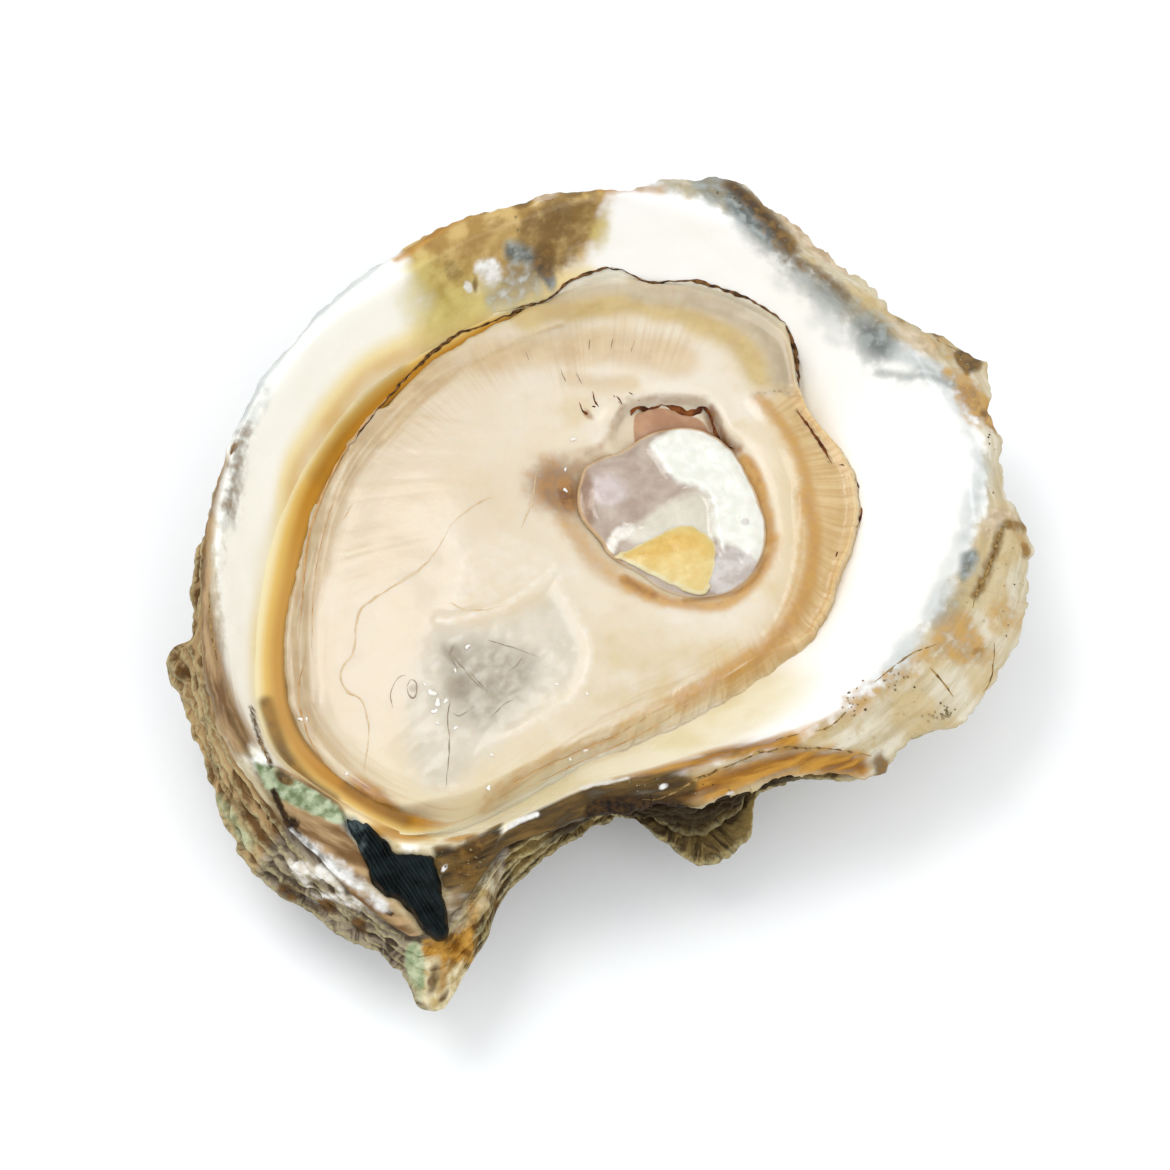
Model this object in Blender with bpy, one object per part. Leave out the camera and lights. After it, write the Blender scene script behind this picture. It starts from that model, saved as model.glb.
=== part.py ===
"""An oyster on the half shell: the cupped lower shell with its meat, muscle, hinge pad and liquor.

The frame is in metres with +Z up. The origin is under the middle of the object, on the surface that
it rests on. The beak of the shell points to -Y and -X, and the cup opens upwards. Outlines are polar:
an angle in degrees round the cup's pole, counted from +X, with a radius and a height in millimetres.
"""

import bmesh
import bpy
import numpy as np

MM = 0.001

# The cup
CUP_POLE = (0.0, 1.2)  # the lowest point of the cup inside, in plan
FLOOR_HEIGHT = 4.5  # shell thickness under that point
LEAST_WALL = 1.8
SHELL_SIDES = 116
CUP_RINGS = (0.16, 0.34, 0.5, 0.64, 0.76, 0.86, 0.93, 0.975, 1.0)  # shares of the cup's radius

# The shell's outer layers
LIP_THICKNESS = 1.2
ROOT_DEPTH = 2.2  # how far the notch between two layers goes in behind the smaller one
FOOT_SHARE = 0.38  # the flat foot's radius over the rim's
LOWER_LAYERS = ((0.78, 1.7, 5, 0.4), (0.48, 1.3, 7, 1.9))  # height share, reach, lobes, phase

# What lies in the cup
GAP = 0.4  # between neighbouring pieces, which would otherwise share a face
GAP_BELOW = 0.8  # over the cup's floor, whose facets stand a little above its true curve
MEAT_SIDES = 72
MEAT_EDGE_HEIGHT = 15.0
MEAT_THINNEST = 1.0
MUSCLE_CENTRE = (8.1, 7.5)
MUSCLE_SIDES = 40
MUSCLE_TOP = 16.4
LIQUOR_LEVEL = 16.0
LIQUOR_ANGLES = (130.0, 212.0)
LIQUOR_STATIONS = 40
LIQUOR_DEPTH = 4.0
LIQUOR_THINNEST = 0.3
PAD_TOP = 16.7
PAD_SUNK = 2.8

# Edge of the cup: angle, radius, height, steepness of the wall below it
CUP_EDGE = (
    (5, 37.5, 22.0, 1.40),
    (30, 38.0, 22.0, 1.70),
    (55, 37.8, 22.5, 3.60),
    (80, 38.2, 23.5, 4.00),
    (104, 35.8, 24.0, 3.90),
    (122, 34.6, 24.5, 4.00),
    (140, 35.6, 24.5, 4.00),
    (165, 36.7, 24.0, 4.20),
    (190, 38.2, 23.0, 5.00),
    (208, 39.8, 20.8, 6.00),
    (222, 36.6, 17.6, 5.00),
    (240, 33.0, 16.2, 4.00),
    (257, 27.0, 18.6, 2.60),
    (270, 24.4, 20.0, 2.20),
    (290, 24.4, 21.0, 1.70),
    (315, 27.5, 21.0, 1.30),
    (340, 32.0, 21.0, 1.25),
)

# Outer edge of the top layer: angle, radius, height
RIM_EDGE = (
    (0, 43.2, 18.0),
    (11, 41.2, 19.0),
    (28, 44.2, 20.0),
    (42, 39.6, 21.0),
    (58, 40.8, 21.0),
    (72, 43.2, 22.0),
    (86, 39.2, 24.0),
    (105, 38.1, 24.3),
    (135, 37.3, 25.0),
    (160, 38.2, 24.5),
    (185, 39.4, 22.0),
    (207, 41.5, 19.0),
    (226, 41.0, 16.6),
    (244, 42.2, 15.4),
    (249, 37.0, 15.6),
    (252, 31.2, 17.3),
    (262, 28.2, 18.5),
    (272, 26.6, 19.0),
    (290, 27.6, 18.6),
    (311, 30.0, 18.0),
    (322, 35.0, 16.2),
    (328, 34.8, 16.6),
    (335, 39.2, 16.4),
    (348, 42.0, 17.0),
)

# Outer edge of the next layer down: angle, radius, height
SECOND_EDGE = (
    (15, 39.0, 15.0),
    (45, 37.6, 16.5),
    (72, 39.6, 17.5),
    (100, 36.2, 19.5),
    (135, 35.6, 20.5),
    (165, 37.4, 19.6),
    (180, 40.2, 17.5),
    (190, 42.0, 15.0),
    (193, 44.6, 14.0),
    (197, 43.6, 14.0),
    (208, 44.2, 14.0),
    (222, 45.6, 11.2),
    (236, 44.2, 11.0),
    (244, 45.2, 11.6),
    (248.5, 47.8, 12.0),
    (251, 47.0, 12.0),
    (254, 33.4, 11.0),
    (258, 29.6, 10.2),
    (266, 26.6, 10.8),
    (275, 24.8, 11.0),
    (284, 27.4, 9.4),
    (290, 30.4, 8.6),
    (299, 30.2, 9.0),
    (306, 27.2, 11.0),
    (330, 31.5, 12.4),
    (350, 38.0, 13.0),
)

# Outline of the meat seen from above: angle, radius
MEAT_EDGE = (
    (1, 24.6),
    (12, 27.0),
    (24, 28.2),
    (38, 27.9),
    (46, 29.6),
    (58, 34.0),
    (72, 34.4),
    (87, 33.4),
    (102, 30.9),
    (121, 28.8),
    (142, 28.4),
    (160, 29.2),
    (178, 30.4),
    (194, 32.2),
    (211, 34.4),
    (228, 33.8),
    (240, 31.2),
    (248, 26.6),
    (256, 23.0),
    (265, 20.2),
    (277, 18.7),
    (290, 18.0),
    (304, 18.1),
    (318, 19.0),
    (332, 20.6),
    (343, 22.7),
)

# Height of the meat's top from the muscle's opening (0) to the outline (1)
MEAT_TOP = (
    (1.00, 15.0),
    (0.975, 15.7),
    (0.93, 16.0),
    (0.85, 15.7),
    (0.68, 16.6),
    (0.45, 17.3),
    (0.22, 17.2),
    (0.08, 16.9),
    (0.00, 16.2),
)

# Outline of the muscle round its own centre: angle, radius
MUSCLE_EDGE = ((0, 8.8), (45, 8.9), (80, 9.6), (118, 8.7), (155, 10.1), (215, 7.8), (260, 7.9), (310, 10.0))

# Outline of the hinge pad in plan
PAD_OUTLINE = (
    (-24.8, -27.0),
    (-20.0, -28.2),
    (-16.6, -29.4),
    (-15.0, -32.8),
    (-14.8, -36.6),
    (-16.8, -35.6),
    (-19.6, -32.6),
    (-22.8, -30.0),
)


def around(table, column, angles):
    """One column of a closed outline table at some angles, by a cubic that never overshoots."""
    knots = np.array([row[0] for row in table], float)
    values = np.array([row[column] for row in table], float)
    knots = np.concatenate([knots - 360, knots, knots + 360])
    values = np.tile(values, 3)
    step = np.diff(knots)
    slope = np.diff(values) / step
    product = slope[:-1] * slope[1:]
    total = np.where(product > 0, slope[:-1] + slope[1:], 1.0)
    tangent = np.zeros_like(values)
    tangent[1:-1] = np.where(product > 0, 2 * product / total, 0.0)
    angles = np.mod(angles, 360)
    i = np.searchsorted(knots, angles, side="right") - 1
    t = (angles - knots[i]) / step[i]
    rise = (3 - 2 * t) * t * t
    ends = values[i] * (1 - rise) + values[i + 1] * rise
    lean = tangent[i] * (1 - t) + -tangent[i + 1] * t
    return ends + step[i] * t * (1 - t) * lean


def even_angles(count):
    return np.arange(count) * 360.0 / count


def ring(angles, radius, height, centre=CUP_POLE):
    """Points at some angles round a centre, as rows of x, y, z."""
    turn = np.radians(angles)
    x = centre[0] + radius * np.cos(turn)
    y = centre[1] + radius * np.sin(turn)
    return np.stack([x, y, np.broadcast_to(height, x.shape)], axis=1)


def cup_height(x, y):
    """Height of the cup's inner face: it rises as a power of the share of the way to the edge."""
    x, y = x - CUP_POLE[0], y - CUP_POLE[1]
    angles = np.degrees(np.arctan2(y, x))
    share = np.hypot(x, y) / around(CUP_EDGE, 1, angles)
    rise = around(CUP_EDGE, 2, angles) - FLOOR_HEIGHT
    return FLOOR_HEIGHT + rise * share ** around(CUP_EDGE, 3, angles)


def cup_radius(angles, height):
    """Radius at which the cup's inner face reaches a height, or 0 below its floor."""
    rise = around(CUP_EDGE, 2, angles) - FLOOR_HEIGHT
    share = np.clip((height - FLOOR_HEIGHT) / rise, 0, None) ** (1 / around(CUP_EDGE, 3, angles))
    return around(CUP_EDGE, 1, angles) * share


def clear_of_cup(angles, radius, height):
    """A radius kept at least one wall thickness outside the cup."""
    inner = cup_radius(angles, height)
    return np.where(height > FLOOR_HEIGHT + 1, np.maximum(radius, inner + LEAST_WALL), radius)


def skin(rings, capped):
    """A bmesh through closed rings of equal size; a capped one closes to a point at both ends."""
    bm = bmesh.new()
    loops = [[bm.verts.new(point * MM) for point in points] for points in rings]
    pairs = list(zip(loops, loops[1:]))
    if not capped:
        pairs.append((loops[-1], loops[0]))
    for lower, upper in pairs:
        for i in range(len(lower)):
            bm.faces.new((lower[i - 1], lower[i], upper[i], upper[i - 1]))
    if capped:
        for loop in (loops[0], loops[-1]):
            made = bmesh.ops.contextual_create(bm, geom=loop)["faces"]
            bmesh.ops.poke(bm, faces=made)
    bmesh.ops.recalc_face_normals(bm, faces=bm.faces)
    return bm


def finish(colour, roughness, name):
    """A plain material of one colour."""
    material = bpy.data.materials.new(name)
    material.use_nodes = True
    shader = material.node_tree.nodes["Principled BSDF"]
    shader.inputs["Base Color"].default_value = (*colour, 1.0)
    shader.inputs["Roughness"].default_value = roughness
    shader.inputs["Metallic"].default_value = 0.0
    return material


def add_piece(name, bm, material):
    """Turns a bmesh into a smooth-shaded object of the scene."""
    mesh = bpy.data.meshes.new(name)
    bm.to_mesh(mesh)
    bm.free()
    mesh.shade_smooth()
    mesh.set_sharp_from_angle(angle=np.radians(50))
    piece = bpy.data.objects.new(name, mesh)
    bpy.context.scene.collection.objects.link(piece)
    if material:
        piece.data.materials.append(material)
    return piece


def layer_rings(angles, radius, height):
    """The lip of one layer of shell: its top edge and, a little further in, its lower edge."""
    lower = height - LIP_THICKNESS
    return [
        ring(angles, clear_of_cup(angles, radius, height), height),
        ring(angles, clear_of_cup(angles, radius - 0.4, lower), lower),
    ]


def shell_body():
    """The cup, its rim, two upper layers with free lips, two lower ones and the flat foot."""
    angles = even_angles(SHELL_SIDES)
    cup_edge = around(CUP_EDGE, 1, angles)
    rings = []
    for share in CUP_RINGS:
        points = ring(angles, cup_edge * share, 0.0)
        points[:, 2] = cup_height(points[:, 0], points[:, 1])
        rings.append(points)

    rim, rim_height = around(RIM_EDGE, 1, angles), around(RIM_EDGE, 2, angles)
    crest = 0.65 * rings[-1][:, 2] + 0.35 * rim_height + 0.3
    rings.append(ring(angles, 0.6 * cup_edge + 0.4 * rim, crest))
    rings += layer_rings(angles, rim, rim_height)

    second, second_height = around(SECOND_EDGE, 1, angles), around(SECOND_EDGE, 2, angles)
    notch_height = 0.45 * (rim_height - LIP_THICKNESS) + 0.55 * second_height
    notch = clear_of_cup(angles, np.minimum(rim, second) - ROOT_DEPTH, notch_height)
    rings.append(ring(angles, notch, notch_height))
    rings += layer_rings(angles, second, second_height)

    foot = FOOT_SHARE * rim
    top = second_height - 2 * LIP_THICKNESS
    top_radius = clear_of_cup(angles, np.minimum(rim, second) - 2 * ROOT_DEPTH, top)
    roundness = 1 + 0.2 * (around(CUP_EDGE, 3, angles) - 1.3).clip(0, 4)

    def outside(height):
        """Radius of the body between the upper layers and the foot, at a height."""
        share = (height / top) ** (1 / roundness)
        return clear_of_cup(angles, foot + (top_radius - foot) * share, height)

    rings.append(ring(angles, top_radius, top))
    for share, reach, lobes, phase in LOWER_LAYERS:
        lip_height = share * top
        ruffle = reach * (1 + 0.45 * np.sin(np.radians(lobes * angles) + phase))
        rings += layer_rings(angles, outside(lip_height) + ruffle, lip_height)
        root_height = lip_height - 1.9 * LIP_THICKNESS
        rings.append(ring(angles, outside(root_height), root_height))
    rings.append(ring(angles, foot, 0.0))
    return skin(rings, capped=True)


def smooth_outline(points, per_side=4):
    """A closed curve through a few points in plan, as a Catmull-Rom spline."""
    p = np.array(points, float)
    before, after, beyond = np.roll(p, 1, 0), np.roll(p, -1, 0), np.roll(p, -2, 0)
    t = (np.arange(per_side) / per_side)[None, :, None]
    a, b, c, d = (q[:, None, :] for q in (before, p, after, beyond))
    curve = 2 * b + (c - a) * t + (2 * a - 5 * b + 4 * c - d) * t**2 + (3 * b - a - 3 * c + d) * t**3
    return (curve / 2).reshape(-1, 2)


def pad_body(grow, low, high, crown):
    """The hinge pad, or with some growth all round, the socket that it sits in."""
    outline = smooth_outline(PAD_OUTLINE)
    centre = outline.mean(axis=0)
    edge = outline - np.roll(outline, 1, 0)
    normal = np.stack([edge[:, 1], -edge[:, 0]], axis=1)
    normal /= np.linalg.norm(normal, axis=1, keepdims=True)
    outward = np.sign(np.sum(normal * (outline - centre), axis=1).mean())
    outline = outline + outward * grow * normal

    def at(scale, height):
        flat = centre + (outline - centre) * scale
        return np.column_stack([flat, np.full(len(flat), height)])

    rings = [at(0.5, low), at(1.0, low), at(1.0, high - 0.4 * crown), at(0.92, high), at(0.5, high + crown)]
    return skin(rings, capped=True)


def muscle_edge(angles, grow=0.0):
    return around(MUSCLE_EDGE, 1, angles) + grow


def meat_body():
    """The meat: a ring round the muscle whose underside follows the cup."""
    angles = even_angles(MEAT_SIDES)
    limit = cup_radius(angles, np.full(MEAT_SIDES, MEAT_EDGE_HEIGHT)) + 0.6
    edge = ring(angles, np.minimum(around(MEAT_EDGE, 1, angles), limit), 0.0)
    hole = ring(angles, muscle_edge(angles, GAP), 0.0, MUSCLE_CENTRE)

    def at(share):
        points = hole + (edge - hole) * share
        points[:, 2] = cup_height(points[:, 0], points[:, 1]) + GAP_BELOW
        return points

    rings = [at(share) for share in (0.0, 0.25, 0.5, 0.72, 0.88, 0.97)]
    for share, height in MEAT_TOP:
        points = at(share)
        points[:, 2] = np.maximum(height, points[:, 2] + MEAT_THINNEST)
        rings.append(points)
    return skin(rings, capped=False)


def muscle_body():
    """The muscle: a column from the cup's floor to a low dome level with the meat."""
    angles = even_angles(MUSCLE_SIDES)

    def at(scale, height=None):
        points = ring(angles, muscle_edge(angles) * scale, 0.0, MUSCLE_CENTRE)
        under = cup_height(points[:, 0], points[:, 1]) + GAP_BELOW
        points[:, 2] = under if height is None else height
        return points

    rings = [at(0.35), at(0.7), at(1.0), at(1.0, MUSCLE_TOP - 2.0), at(0.98, MUSCLE_TOP - 0.8)]
    rings += [at(0.86, MUSCLE_TOP - 0.1), at(0.6, MUSCLE_TOP + 0.3), at(0.3, MUSCLE_TOP + 0.2)]
    return skin(rings, capped=True)


def liquor_body():
    """The pool between the meat's edge and the wall of the cup, level on top."""
    angles = np.linspace(*LIQUOR_ANGLES, LIQUOR_STATIONS)
    inner = around(MEAT_EDGE, 1, angles) + 2 * GAP
    outer = np.maximum(cup_radius(angles, LIQUOR_LEVEL - LIQUOR_THINNEST - GAP), inner + 0.3)

    def bed(share):
        """Points a gap above the cup's face, some share of the way from the meat to the wall."""
        points = ring(angles, inner + (outer - inner) * share, 0.0)
        under = cup_height(points[:, 0], points[:, 1]) + GAP_BELOW
        points[:, 2] = np.clip(under, LIQUOR_LEVEL - LIQUOR_DEPTH, LIQUOR_LEVEL - LIQUOR_THINNEST)
        return points

    sides = [bed(0.0), bed(0.35), bed(0.7), bed(1.0)]
    sides += [ring(angles, outer, LIQUOR_LEVEL), ring(angles, inner, LIQUOR_LEVEL)]
    return skin(list(np.stack(sides, axis=1)), capped=True)


def build():
    for old in list(bpy.data.objects):
        bpy.data.objects.remove(old)
    bpy.context.scene.unit_settings.system = "METRIC"

    pearl = finish((0.86, 0.83, 0.74), 0.3, "shell")
    flesh = finish((0.84, 0.70, 0.50), 0.25, "meat")
    sinew = finish((0.72, 0.65, 0.55), 0.25, "muscle")
    horn = finish((0.01, 0.015, 0.015), 0.2, "hinge_pad")
    juice = finish((0.55, 0.33, 0.10), 0.1, "liquor")

    shell = add_piece("shell", shell_body(), pearl)
    socket = add_piece("socket", pad_body(GAP, PAD_TOP - PAD_SUNK - GAP, PAD_TOP + 4.0, 0.0), None)
    socket.hide_render = True
    socket.display_type = "WIRE"
    cut = shell.modifiers.new("socket", "BOOLEAN")
    cut.operation = "DIFFERENCE"
    cut.object = socket

    add_piece("hinge_ligament", pad_body(0.0, PAD_TOP - PAD_SUNK, PAD_TOP, 0.3), horn)
    add_piece("oyster_meat", meat_body(), flesh)
    add_piece("adductor_muscle", muscle_body(), sinew)
    add_piece("liquor", liquor_body(), juice)


build()
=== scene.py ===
"""Looks of an oyster on the half shell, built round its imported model.

Lengths in the shapes are millimetres in the model's own frame, and a mesh is written in metres. Outlines are
polar: an angle in degrees round the cup's pole, counted from +X, then a radius, a height and so on.
"""

import logging
import math
from dataclasses import dataclass, field
from enum import Enum
from typing import Any, Callable, Sequence

import bpy
import numpy as np
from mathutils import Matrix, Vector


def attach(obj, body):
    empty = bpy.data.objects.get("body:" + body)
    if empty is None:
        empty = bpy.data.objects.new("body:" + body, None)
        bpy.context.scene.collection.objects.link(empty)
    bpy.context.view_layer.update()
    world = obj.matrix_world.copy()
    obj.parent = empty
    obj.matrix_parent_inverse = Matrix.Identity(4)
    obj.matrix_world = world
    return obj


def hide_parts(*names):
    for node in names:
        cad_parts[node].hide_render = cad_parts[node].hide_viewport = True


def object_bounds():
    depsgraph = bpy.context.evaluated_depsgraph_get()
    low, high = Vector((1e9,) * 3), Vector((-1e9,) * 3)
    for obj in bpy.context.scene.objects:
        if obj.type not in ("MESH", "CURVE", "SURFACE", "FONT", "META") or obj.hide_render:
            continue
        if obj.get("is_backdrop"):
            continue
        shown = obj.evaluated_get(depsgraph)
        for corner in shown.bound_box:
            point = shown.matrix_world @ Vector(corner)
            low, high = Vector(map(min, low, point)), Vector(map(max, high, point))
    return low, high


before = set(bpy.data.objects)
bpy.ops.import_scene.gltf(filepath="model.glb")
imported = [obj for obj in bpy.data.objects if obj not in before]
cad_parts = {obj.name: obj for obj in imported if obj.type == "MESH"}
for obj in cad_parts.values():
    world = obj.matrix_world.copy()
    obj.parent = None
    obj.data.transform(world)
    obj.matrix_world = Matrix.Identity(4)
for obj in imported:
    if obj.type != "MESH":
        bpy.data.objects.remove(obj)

CAD_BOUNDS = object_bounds()
MM = 0.001
LIGHT = 1.15  # what a pure white level surface shows in the studio, where 1 is full white
FLESH_LIGHT = 1.32  # the same on the meat, which the cup round it lights as well
LIQUOR_LIGHT = 1.2  # and on the amber of the liquor
PEARL_LIGHT = 1.05  # and on the pearl, most of which slopes away from the lamps
RICHER = 0.13  # how far a colour is moved away from grey, against the pale studio in its gloss
GROWTH = 0.2  # how far the noise of a growth line is drawn together along the line
RAY_START = 0.06  # metres: a height above every piece, to look down from
LOG = logging.getLogger("oyster")
Array = np.ndarray
Colour = tuple[float, float, float]
Rows = Sequence[Sequence[float]]


# ---- Numbers and outlines ----


def ease(value: Array, low: float, high: float) -> Array:
    """Smooth step: 0 up to low, 1 from high, and a cubic with level ends between.

    Args:
        value: the numbers to step.
        low: where the step starts. It may be more than high, and then the step goes down.
        high: where the step ends.

    Returns:
        Numbers from 0 to 1.
    """
    t = np.clip((np.asarray(value, float) - low) / (high - low), 0.0, 1.0)
    return t * t * (3.0 - 2.0 * t)


def window(value: Array, first: float, rise: float, fall: float, last: float) -> Array:
    """1 from rise to fall, with a smooth step up from first and one down to last."""
    return ease(value, first, rise) * ease(value, last, fall)


def bell(value: Array, width: float) -> Array:
    """A bump of height 1: e to the power of minus the square of value over width."""
    return np.exp(-((np.asarray(value, float) / width) ** 2))


def tone(red: int, green: int, blue: int, light: float = LIGHT) -> Colour:
    """The surface colour that shows as a display colour from 0 to 255 in light of some strength.

    Args:
        red, green, blue: the display colour.
        light: what a white surface would show there.

    Returns:
        The linear colour of the surface.
    """
    parts = np.array([red, green, blue]) / 255.0
    parts -= RICHER * (parts.max() - parts)
    linear = np.where(parts <= 0.04045, parts / 12.92, ((parts + 0.055) / 1.055) ** 2.4) / light
    return (float(linear[0]), float(linear[1]), float(linear[2]))


def flesh(red: int, green: int, blue: int) -> Colour:
    """The same for the meat, which the cup round it lights a little more."""
    return tone(red, green, blue, FLESH_LIGHT)


class Outline:
    """A closed outline in polar form, with any number of columns after the angle."""

    def __init__(self, rows: Rows) -> None:
        """Keeps the rows three times round, so that every angle has neighbours on both sides.

        Args:
            rows: an angle in degrees, then the values at that angle, in rising order of angle.
        """
        table = np.array(rows, float)
        self.angles = np.concatenate([table[:, 0] + turn for turn in (-360.0, 0.0, 360.0)])
        self.values = np.tile(table[:, 1:], (3, 1))
        step = np.diff(self.angles)[:, None]
        slope = np.diff(self.values, axis=0) / step
        product = slope[:-1] * slope[1:]
        total = np.where(product > 0, slope[:-1] + slope[1:], 1.0)
        self.tangents = np.zeros_like(self.values)
        self.tangents[1:-1] = np.where(product > 0, 2.0 * product / total, 0.0)

    def at(self, angles: Array, column: int = 0) -> Array:
        """One column at some angles, by a cubic through the rows that never overshoots.

        Args:
            angles: degrees, of any shape.
            column: 0 for the first value after the angle.

        Returns:
            The column's values, in the shape of angles.
        """
        turned = np.mod(angles, 360.0)
        i = np.searchsorted(self.angles, turned, side="right") - 1
        step = self.angles[i + 1] - self.angles[i]
        t = (turned - self.angles[i]) / step
        rise = (3.0 - 2.0 * t) * t * t
        ends = self.values[i, column] * (1.0 - rise) + self.values[i + 1, column] * rise
        lean = self.tangents[i, column] * (1.0 - t) - self.tangents[i + 1, column] * t
        return ends + step * t * (1.0 - t) * lean


class Noise:
    """Smooth noise in space from a seed: gradients on a lattice, blended by a quintic."""

    def __init__(self, seed: int) -> None:
        """Draws the lattice's gradients.

        Args:
            seed: makes the same noise each run.
        """
        rng = np.random.default_rng(seed)
        self.table = rng.permutation(256)
        arrows = rng.normal(size=(256, 3))
        self.arrows = arrows / np.linalg.norm(arrows, axis=1, keepdims=True)

    def at(self, points: Array, size: float) -> Array:
        """Noise from about -1 to 1 at some points.

        Args:
            points: rows of x, y and z in millimetres.
            size: the width of one lattice cell in millimetres.

        Returns:
            One number for each point.
        """
        scaled = points / size
        cell = np.floor(scaled).astype(int)
        part = scaled - cell
        fade = part**3 * (part * (part * 6.0 - 15.0) + 10.0)
        total = np.zeros(points.shape[:-1])
        for corner in np.ndindex(2, 2, 2):
            at = cell + corner
            key = self.table[at[..., 0] & 255]
            key = self.table[(key + at[..., 1]) & 255]
            key = self.table[(key + at[..., 2]) & 255]
            weight = np.prod(np.where(corner, fade, 1.0 - fade), axis=-1)
            total += weight * np.sum(self.arrows[key] * (part - corner), axis=-1)
        return 1.6 * total

    def layered(self, points: Array, size: float, layers: int = 4) -> Array:
        """A sum of noises, each of half the size and half the strength of the one before."""
        return sum(self.at(points + 17.3 * k, size / 2**k) / 2**k for k in range(layers))

    def along(self, angles: Array, size: float, layers: int = 3, row: float = 0.0) -> Array:
        """Noise round a circle of 40 mm, so that it meets itself, with cells of a size in millimetres.

        Args:
            angles: degrees.
            size: the width of one cell.
            layers: how many noises are summed.
            row: a height, which gives another noise.

        Returns:
            One number for each angle.
        """
        turn = np.radians(angles)
        points = np.stack([40.0 * np.cos(turn), 40.0 * np.sin(turn), np.full_like(turn, row)], axis=-1)
        return self.layered(points, size, layers)


def spline(points: Rows, closed: bool = False, spans: int = 6) -> Array:
    """A Catmull-Rom curve through a few points.

    Args:
        points: the points, of two or three coordinates, or x and y in turn in one row.
        closed: whether the curve runs back to its first point.
        spans: how many steps lie between two points.

    Returns:
        The points of the curve, in order.
    """
    p = np.array(points, float)
    p = p.reshape(-1, 2) if p.ndim == 1 else p
    if not closed:
        p = np.concatenate([2 * p[:1] - p[1:2], p, 2 * p[-1:] - p[-2:-1]])
    before, after, beyond = np.roll(p, 1, 0), np.roll(p, -1, 0), np.roll(p, -2, 0)
    if not closed:
        before, p, after, beyond = (q[1:-2] for q in (before, p, after, beyond))
    t = (np.arange(spans) / spans)[None, :, None]
    a, b, c, d = (q[:, None, :] for q in (before, p, after, beyond))
    curve = 2 * b + (c - a) * t + (2 * a - 5 * b + 4 * c - d) * t**2 + (3 * b - a - 3 * c + d) * t**3
    curve = (curve / 2).reshape(-1, p.shape[1])
    return curve if closed else np.concatenate([curve, after[-1:]])


def path_distance(plan: Array, path: Array) -> Array:
    """Distance in plan from points to a chain of straight pieces.

    Args:
        plan: points whose last axis starts with x and y.
        path: the chain's points, as rows of x and y.

    Returns:
        The distance to the nearest piece, in the shape of plan without its last axis.
    """
    nearest = np.full(plan.shape[:-1], np.inf)
    for start, end in zip(path[:-1, :2], path[1:, :2]):
        run = end - start
        offset = plan[..., :2] - start
        t = np.clip(offset @ run / max(run @ run, 1e-12), 0.0, 1.0)
        gap = np.hypot(offset[..., 0] - t * run[0], offset[..., 1] - t * run[1])
        nearest = np.minimum(nearest, gap)
    return nearest


def inside_distance(plan: Array, loop: Array) -> Array:
    """Distance to a closed loop in plan, above 0 inside it and below 0 outside.

    Args:
        plan: points whose last axis starts with x and y.
        loop: the loop's points, without the first one repeated.

    Returns:
        The signed distance in millimetres.
    """
    closed = np.concatenate([loop, loop[:1]])
    x, y = plan[..., 0], plan[..., 1]
    inside = np.zeros(x.shape, bool)
    for (x0, y0), (x1, y1) in zip(closed[:-1, :2], closed[1:, :2]):
        crosses = (y0 > y) != (y1 > y)
        slope = (x1 - x0) / (y1 - y0) if y1 != y0 else 0.0
        inside ^= crosses & (x < x0 + (y - y0) * slope)
    return np.where(inside, 1.0, -1.0) * path_distance(plan, closed)


# ---- Marks: where a stain, a relief or a tint lies in plan ----


@dataclass(frozen=True)
class Spot:
    """An oval mark: centre, half length, half width, turn in degrees and strength."""

    x: float
    y: float
    length: float
    width: float
    turn: float = 0.0
    strength: float = 1.0

    def box(self) -> tuple[Array, Array]:
        """Corners of the square in plan that the mark stays in."""
        reach = 1.4 * max(self.length, self.width)
        return np.array([self.x, self.y]) - reach, np.array([self.x, self.y]) + reach

    def cover(self, plan: Array) -> Array:
        """Strength in the middle, falling to 0 at 1.4 times the oval's size.

        Args:
            plan: points whose last axis starts with x and y.

        Returns:
            The cover of each point.
        """
        turn = math.radians(self.turn)
        x, y = plan[..., 0] - self.x, plan[..., 1] - self.y
        along = (x * math.cos(turn) + y * math.sin(turn)) / self.length
        across = (y * math.cos(turn) - x * math.sin(turn)) / self.width
        return self.strength * ease(np.hypot(along, across), 1.4, 0.35)


@dataclass(frozen=True)
class Streak:
    """A mark along a curve through a few points, of a half width and a strength."""

    points: Rows
    width: float
    strength: float = 1.0

    def box(self) -> tuple[Array, Array]:
        """Corners of the rectangle in plan that the mark stays in."""
        points = spline(self.points)[:, :2]
        return points.min(0) - 1.6 * self.width, points.max(0) + 1.6 * self.width

    def cover(self, plan: Array) -> Array:
        """Strength on the curve, falling to 0 at 1.6 half widths from it."""
        return self.strength * ease(path_distance(plan, spline(self.points)), 1.6 * self.width, 0.0)


@dataclass(frozen=True)
class Patch:
    """A mark that fills a closed outline, with an edge of some softness."""

    points: Rows
    soft: float
    strength: float = 1.0

    def box(self) -> tuple[Array, Array]:
        """Corners of the rectangle in plan that the mark stays in."""
        points = spline(self.points, closed=True, spans=5)[:, :2]
        return points.min(0) - self.soft, points.max(0) + self.soft

    def cover(self, plan: Array) -> Array:
        """Strength inside, half of it on the outline, and 0 beyond the soft edge."""
        depth = inside_distance(plan, spline(self.points, closed=True, spans=5))
        return self.strength * ease(depth, -self.soft, self.soft)


Mark = Spot | Streak | Patch


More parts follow.
